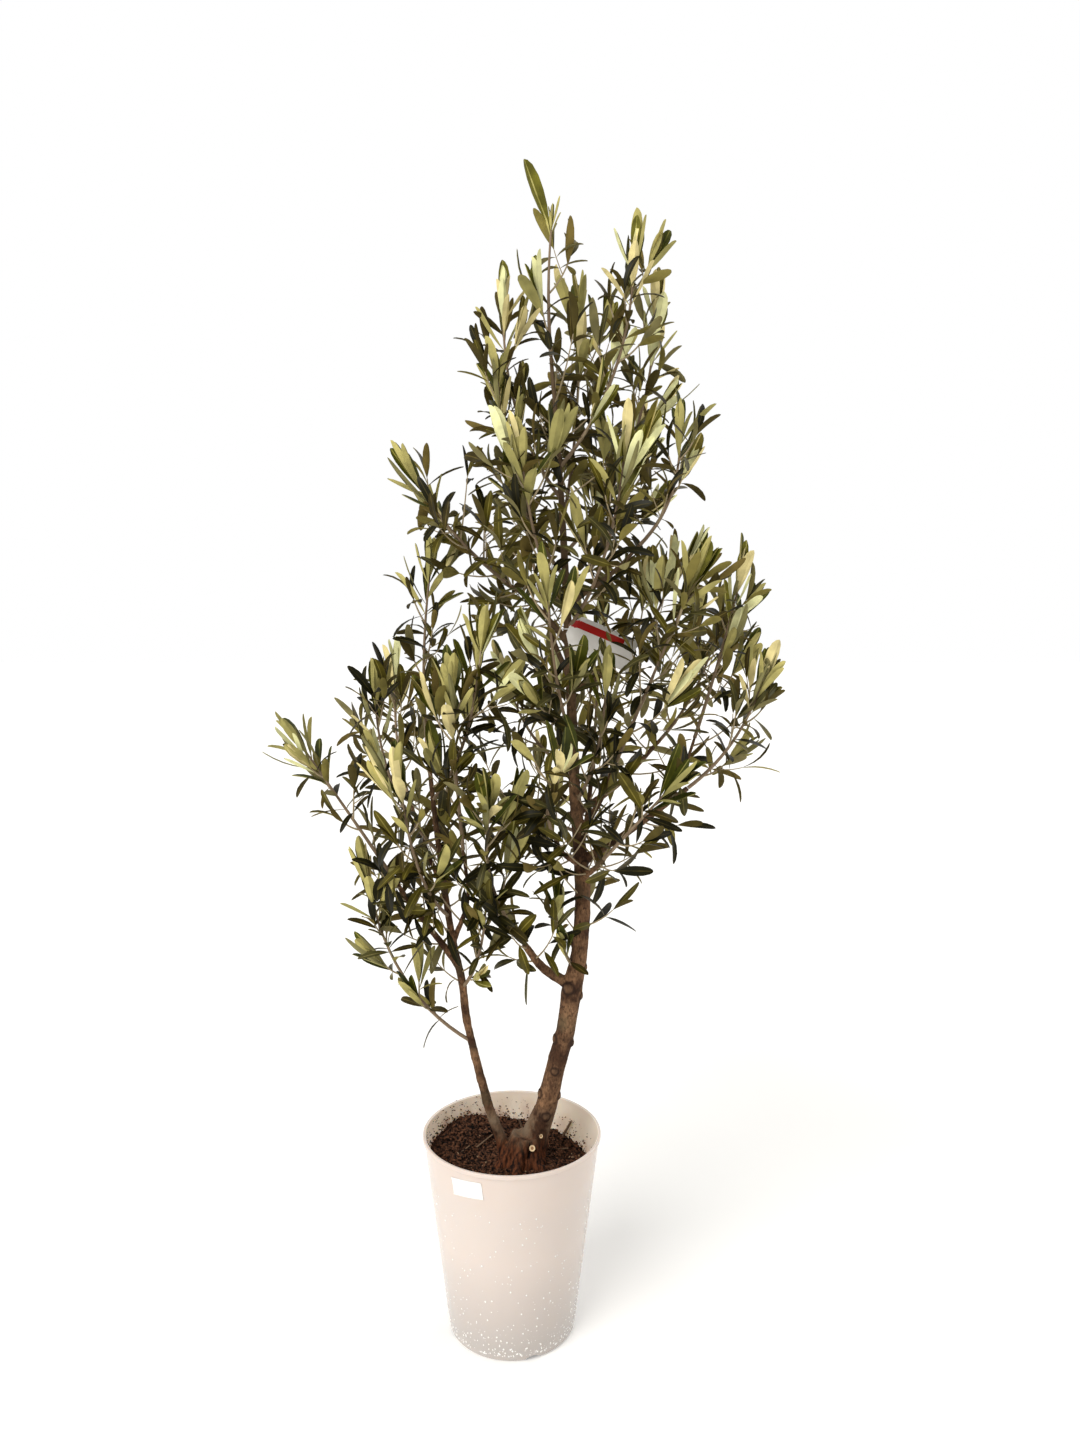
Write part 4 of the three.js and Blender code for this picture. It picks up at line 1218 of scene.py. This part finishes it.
# The share of sprays up to which each kind is dealt out, palest and darkest first
young_shares = (("fresh", 0.34), ("straw", 0.48), ("young", 0.70), ("sage", 1))
old_shares = (("old", 0.42), ("brown", 0.54), ("middle", 0.70), ("grey", 1))
# From the first height down to the second, young leaves lean more and more to the darker kinds, by up to the
# third value: painted shade low in the crown
painted_shade_below = (0.95, 0.55, 0.20)
leaf_twist = 0.6
leaf_bands = 8
leaf_sides = 5
leaf_thickness = 0.00055
flattest_bend = 0.02
leaf_triangles = 190000
rib_share = 0.11
leaf_sheen = 0.13
leaf_roughness = (0.42, 0.5, 0.75)
darker_share = 0.7
greyer_share = 0.82
leaf_rings = (0, 0.06, 0.17, 0.34, 0.54, 0.74, 0.90, 0.975, 1)
leaf_outlines = {
    "blunt": (0.10, 0.10, 0.36, 0.74, 0.97, 1.0, 0.74, 0.36, 0.1),
    "slim": (0.12, 0.12, 0.46, 0.84, 1.0, 0.94, 0.66, 0.32, 0.1),
}
# The leader ends in a bud of narrow folded leaves with one full leaf beside it
leader_leaf = (Vector((-0.43, -0.10, 0.90)), 0.088, 0.0195)
leader_facing = np.array([0.35, -1, 0])
leader_bend = (-0.25, 0.3)
bud_leaves = 9
bud_gap = 0.001
bud_length = (0.024, 0.044)
bud_width = (0.0030, 0.0050)
bud_opening = (5, 24)
bud_bend = (-0.4, 0.2)
bud_twist = (-0.5, 0.5)


def eased(ends, share):
    """From the first value at the foot of a shoot to the second at its tip."""
    return ends[0] + (ends[1] - ends[0]) * share


def leaves_on(path, draw, size, vigour, bare):
    """The leaves of one shoot: where each stands, its turn, opening and length, and whether it is young.

    The few long upright ones below the tuft are neither young nor old.
    """
    rule = leaf_rule
    long = path[1][-1]
    leafy = 1 - rule["start"]
    strong = vigour > strong_vigour
    count = max(1, round(long * leafy / rule["gap"]))
    first_turn = draw(0, 2 * math.pi)
    leaves = []
    for i in range(count):
        share = rule["start"] + leafy * (i + rule["offset"]) / count
        if share > bare:
            break
        fallen = eased(rule["fallen"], share)
        young = strong and share > rule["young_share"]
        opening = eased(rule["open"], share ** rule["open_power"]) * (rule["young_closed"] if young else 1)
        for side in (0, math.pi):
            spread = draw(-rule["turn_spread"], rule["turn_spread"])
            tilt = draw(-rule["open_spread"], rule["open_spread"])
            if draw(0, 1) > fallen:
                leaves.append((share, first_turn + i * math.pi / 2 + side + spread, opening + tilt, young))
    for side in (0, math.pi):
        chance, turn = draw(0, 1), draw(0, 2 * math.pi)
        opening = draw(*rule["long_open"])
        if strong and bare == 1 and chance < rule["long_chance"]:
            leaves.append((rule["long_share"], turn + side, opening, None))
    tuft = round(rule["tuft"] * vigour) if bare == 1 else 0
    for i in range(tuft):
        pair = i // 2
        spread = draw(-rule["tuft_spread"], rule["tuft_spread"])
        opening = draw(*rule["tuft_open"]) + pair * rule["tuft_open_step"]
        share = max(1 - pair * rule["tuft_gap"] / long, 0.5)
        leaves.append((share, first_turn + (i + pair / 2) * math.pi + spread, opening, strong))
    grown = []
    for share, turn, opening, young in leaves:
        age = "long" if young is None else "young" if young else "old"
        long_leaf = rule[age + "_length"] * draw(*rule["lengths"]) * size
        grown.append((share, turn, opening, long_leaf, young))
    return grown


def kind_of(young, spray, luck, height):
    """The kind of a leaf: each spray leans to one tone, and low young leaves lean to the darker ones as
    painted shade under the crown.
    """
    if young is None:
        return "long"
    high, low, darker = painted_shade_below
    shade = spray * 0.5 + luck * 0.5
    # Painted shade: the lower a young leaf stands, the darker the kind it is dealt
    if young:
        shade += darker * min(max((high - height) / (high - low), 0), 1)
    shares = young_shares if young else old_shares
    return next((kind for kind, share in shares if shade < share), shares[-1][0])


def facing(direction, towards):
    """The way a leaf's upper side faces: as far towards something as its own direction lets it."""
    return unit(towards - direction * np.dot(towards, direction))


def grow_leaves(shoots, middle, reach, size, draw):
    """Adds the leaves of some shoots, apart from those that would stand out of reach or meet a limb."""
    for shoot, vigour, last in shoots:
        spray = draw(0, 1)
        for share, turn, opening, long, young in leaves_on(shoot, draw, size, vigour, last):
            root, direction, along = branched(shoot, share, turn, opening)
            kind = kind_of(young, spray, draw(0, 1), root[2])
            _, widths, _, bends = leaf_kinds[kind][:4]
            width = long * draw(*widths)
            bend = draw(*bends)
            twist = draw(-leaf_twist, leaf_twist)
            half_way = root + direction * long * 0.5
            point = root + direction * long
            if hides_wood(half_way, draw(0, 1)) or meets_limb(half_way, middle_room):
                continue
            if distance_to(middle, point) > reach or meets_limb(point, leaf_room) or leaves_box(point):
                continue
            leaf = (root, direction, facing(direction, along), long, width, bend, twist)
            grown_leaves[kind].append(leaf)


grown_leaves = {kind: [] for kind in leaf_kinds}
older_wood = dict(limb_paths)
stems, twigs, side_twigs = [], [], []
for name, parent, at, tip, reach, seed, bare in masses:
    stem = stem_of(parent, at, tip)
    draw = seeded_random(seed + 100)
    size = min(max(reach / leaf_rule["full_reach"], leaf_rule["smallest"]), 1)
    older_wood["foliage_" + name] = stem
    stems.append((stem, stem_rule["radius"], stem_rule["tip_radius"]))
    shoots = [(stem, 1, bare)]
    for twig in twigs_of(stem, reach, seed, bare):
        if meets_limb(point_at(twig, 1), twig_room) or meets_limb(point_at(twig, 0.6), twig_room):
            continue
        twigs.append((twig, twig_rule["radius"], twig_rule["tip_radius"]))
        shoots.append((twig, 1 if draw(0, 1) < strong_share else weak_vigour, 1))
        for side in side_twigs_of(twig, draw):
            if meets_limb(point_at(side, 1), twig_room) or distance_to(stem, point_at(side, 1)) > reach:
                continue
            side_twigs.append((side, twig_rule["tip_radius"], twig_rule["tip_radius"] * side_rule["tip"]))
            shoots.append((side, side_vigour, 1))
    grow_leaves(shoots, stem, reach, size, draw)
rule = sprig_rule
for parent, first, last, count, long, seed in sprigs:
    draw = seeded_random(seed)
    for number in range(count):
        share = first + (last - first) * (number + draw(rule["jitter"], 1 - rule["jitter"])) / count
        turn = number * twig_rule["turn"] + draw(-rule["turn_spread"], rule["turn_spread"])
        foot, start, _ = branched(older_wood[parent], share, turn, draw(*rule["open"]))
        size = long * draw(*rule["lengths"])
        sprig = new_shoot(foot, start, size, 1, twig_rule["lift"])
        side_twigs.append((sprig, twig_rule["radius"], twig_rule["tip_radius"] * rule["tip"]))
        grow_leaves([(sprig, side_vigour, 1)], sprig, leaf_rule["young_length"], 1, draw)

leader_stem = stem_of(*masses[0][1:4])
leader_tip = point_at(leader_stem, 1)
direction, long, width = leader_leaf
direction = unit(np.array(direction))
upper = facing(direction, leader_facing)
grown_leaves["fresh"].append((leader_tip, direction, upper, long, width, *leader_bend))
draw = seeded_random(53)
for i in range(bud_leaves):
    _, direction, along = branched(leader_stem, 1, i * twig_rule["turn"], draw(*bud_opening))
    root = leader_tip - along * bud_gap * i
    bud_leaf = (draw(*bud_length), draw(*bud_width), draw(*bud_bend), draw(*bud_twist))
    grown_leaves["young"].append((root, direction, facing(direction, along), *bud_leaf))


def leaf_shape(outline, fold):
    """A closed leaf: eight bands from stalk to tip, each with a rib, two blade halves and a keel."""
    ball = added(
        bpy.ops.mesh.primitive_uv_sphere_add, segments=leaf_sides, ring_count=leaf_bands, radius=1
    )
    points = np.array([vertex.co[:] for vertex in ball.data.vertices])
    rows = np.rint(np.arccos(np.clip(-points[:, 2], -1, 1)) / math.pi * leaf_bands).astype(int)
    turns = np.arctan2(points[:, 1], points[:, 0]) / (2 * math.pi / leaf_sides)
    corners = np.rint(turns).astype(int) % leaf_sides
    pole = (rows == 0) | (rows == leaf_bands)
    # Every four-sided face is split from the margin's lower point, so both sides crease alike
    faces = []
    for face in ball.data.polygons:
        loop = list(face.vertices)
        first = loop.index(min(loop, key=lambda v: (rows[v], corners[v] not in (1, 3))))
        loop = loop[first:] + loop[:first]
        faces.extend((loop[0], loop[i], loop[i + 1]) for i in range(1, len(loop) - 1))
    faces = np.array(faces)
    bpy.data.objects.remove(ball)
    shares = np.array(leaf_rings)[rows]
    widths = np.array(leaf_outlines[outline])[rows]
    across = np.array([rib_share, 1, 0, -1, -rib_share])[corners] * widths
    lifted = np.array([rib_share, 1, 0, 1, rib_share])[corners] * fold * widths
    deep = np.array([0, 0, -1, 0, 0])[corners] * leaf_thickness
    across[pole] = 0
    lifted[pole] = 0
    deep[pole] = -leaf_thickness / 2
    kinds = []
    for face in faces:
        used = {int(corners[v]) for v in face if not pole[v]}
        kinds.append(2 if 2 in used else 1 if used <= {0, 4} else 0)
    shape = np.stack([shares, across, lifted + deep * 40], axis=1)
    a, b, c = shape[faces[:, 0]], shape[faces[:, 1]], shape[faces[:, 2]]
    if np.einsum("ij,ij->i", a, np.cross(b, c)).sum() < 0:
        faces = faces[:, ::-1]
    return shares, across, lifted, deep, faces, np.array(kinds)


def leaf_clouds(leaves, shape):
    """All the points of all the leaves of one kind, each bent along its length and twisted."""
    shares, across, lifted, deep = shape[:4]
    root, direction, upper = (np.array([leaf[i] for leaf in leaves])[:, None] for i in range(3))
    long, width, bend, twist = (np.array([leaf[i] for leaf in leaves])[:, None] for i in range(3, 7))
    side = np.cross(upper, direction)
    bend = np.where(np.abs(bend) < flattest_bend, flattest_bend, bend)
    angle = bend * shares
    turn = twist * shares
    flat = across * width / 2
    high = lifted * width / 2 + deep
    along = long * np.sin(angle) / bend + high * np.sin(angle)
    rise = -long * (1 - np.cos(angle)) / bend
    y = flat * np.cos(turn) - high * np.sin(turn)
    z = rise + flat * np.sin(turn) + high * np.cos(turn)
    return root + direction * along[..., None] + side * y[..., None] + upper * z[..., None]


def leaf_finish_of(name, colour, roughness, other):
    """One side of a leaf: dull and leathery, in two tones with fine bumps."""
    grain, bumps, contrast = (45, 3), (500, 3, 0.0002, 0.6), (0.34, 0.66)
    finish = grained(name, colour, roughness, grain, (colour, other), bumps, contrast)
    set_shader(finish, {"Specular IOR Level": leaf_sheen})
    return finish


foliage_nodes = ["foliage_" + row[0] for row in masses]
for kind, (outline, _, fold, _, upper_colour, rib_colour, under_colour) in leaf_kinds.items():
    darker = tuple(value * darker_share for value in upper_colour)
    greyer = tuple(value * greyer_share for value in under_colour)
    tones = ((upper_colour, darker), (rib_colour, upper_colour), (under_colour, greyer))
    leaf_finishes = [
        leaf_finish_of(f"leaf_{kind}_{side}", colour, roughness, other)
        for side, (colour, other), roughness in zip(("upper", "rib", "under"), tones, leaf_roughness)
    ]
    leaves = grown_leaves[kind]
    shape = leaf_shape(outline, fold)
    leaf_faces, leaf_finish = shape[4:]
    most = leaf_triangles // len(leaf_faces)
    for start in range(0, len(leaves), most):
        clouds = leaf_clouds(leaves[start:start + most], shape)
        piece_name = f"leaves_{kind}_{start // most + 1}"
        leaf_piece = joined(clouds, leaf_faces)
        settle(leaf_piece, piece_name, leaf_finishes, 50)
        finish = np.tile(leaf_finish, len(clouds)).astype(np.int32)
        leaf_piece.data.polygons.foreach_set("material_index", finish)
        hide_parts(*foliage_nodes)

# The stems of the masses are grey-brown, and the thinner the shoot, the paler its bark
stem_bark = grained(
    "stem_bark", (132, 114, 94), 0.7, (60, 5), ((102, 80, 61), (158, 136, 107)), (300, 5, 0.0003)
)
twig_bark = grained(
    "twig_bark", (150, 134, 104), 0.65, (80, 4), ((136, 115, 86), (184, 168, 132)), (400, 4, 0.0002)
)
for name, shoots, sides, steps, finish in (
    ("foliage_stems", stems, 9, 14, stem_bark),
    ("twigs", twigs, 6, 7, twig_bark),
    ("side_twigs", side_twigs, 5, 5, twig_bark),
):
    shoot_piece = tubes(shoots, sides, steps)
    settle(shoot_piece, name, finish, 60)
    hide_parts(*foliage_nodes)

# Water: the pot was just watered, and small flat drops cling to its wall, most of them low down.
# The wall leans out a little towards the rim, and each drop lies flat on it and hangs a little.
drop_count = 1500
drop_foot = 0.008
drop_rise = 0.2
drop_low = 2.5
drop_size = 0.0013
drop_sizes = (0.3, 1)
drop_size_power = 1.9
drop_flat = 0.42
drop_hang = (1, 1.35)
wall_lean = 0.128

drop_points, drop_faces = shape_arrays(
    added(bpy.ops.mesh.primitive_uv_sphere_add, segments=8, ring_count=4, radius=1)
)
draw = seeded_random(47)
drop_clouds = []
for _ in range(drop_count):
    height = drop_foot + drop_rise * draw(0, 1) ** drop_low
    turn = draw(0, 2 * math.pi)
    size = drop_size * draw(*drop_sizes) ** drop_size_power
    out = np.array([math.cos(turn), math.sin(turn), -wall_lean])
    side = np.array([-math.sin(turn), math.cos(turn), 0])
    scaled = drop_points * [size * drop_flat, size, size * draw(*drop_hang)]
    centre = np.array([0, 0, height]) + out * [outer_radius(height)] * [1, 1, 0]
    drop_clouds.append(centre + scaled[:, :1] * out + scaled[:, 1:2] * side + scaled[:, 2:] * up)
drops = joined(np.array(drop_clouds), drop_faces)
# The drops are painted near-white, paler than the pot: painted highlights standing for the glints of clear
# water. The coat gives them a real gloss
water_painted_bright = grained("water_painted_bright", (248, 246, 243), 0.08, (200, 2), ((252, 250, 246), (232, 229, 224)))
set_shader(water_painted_bright, {"Coat Weight": 1, "Coat Roughness": 0.02})
settle(drops, "water_drops", water_painted_bright, 80)
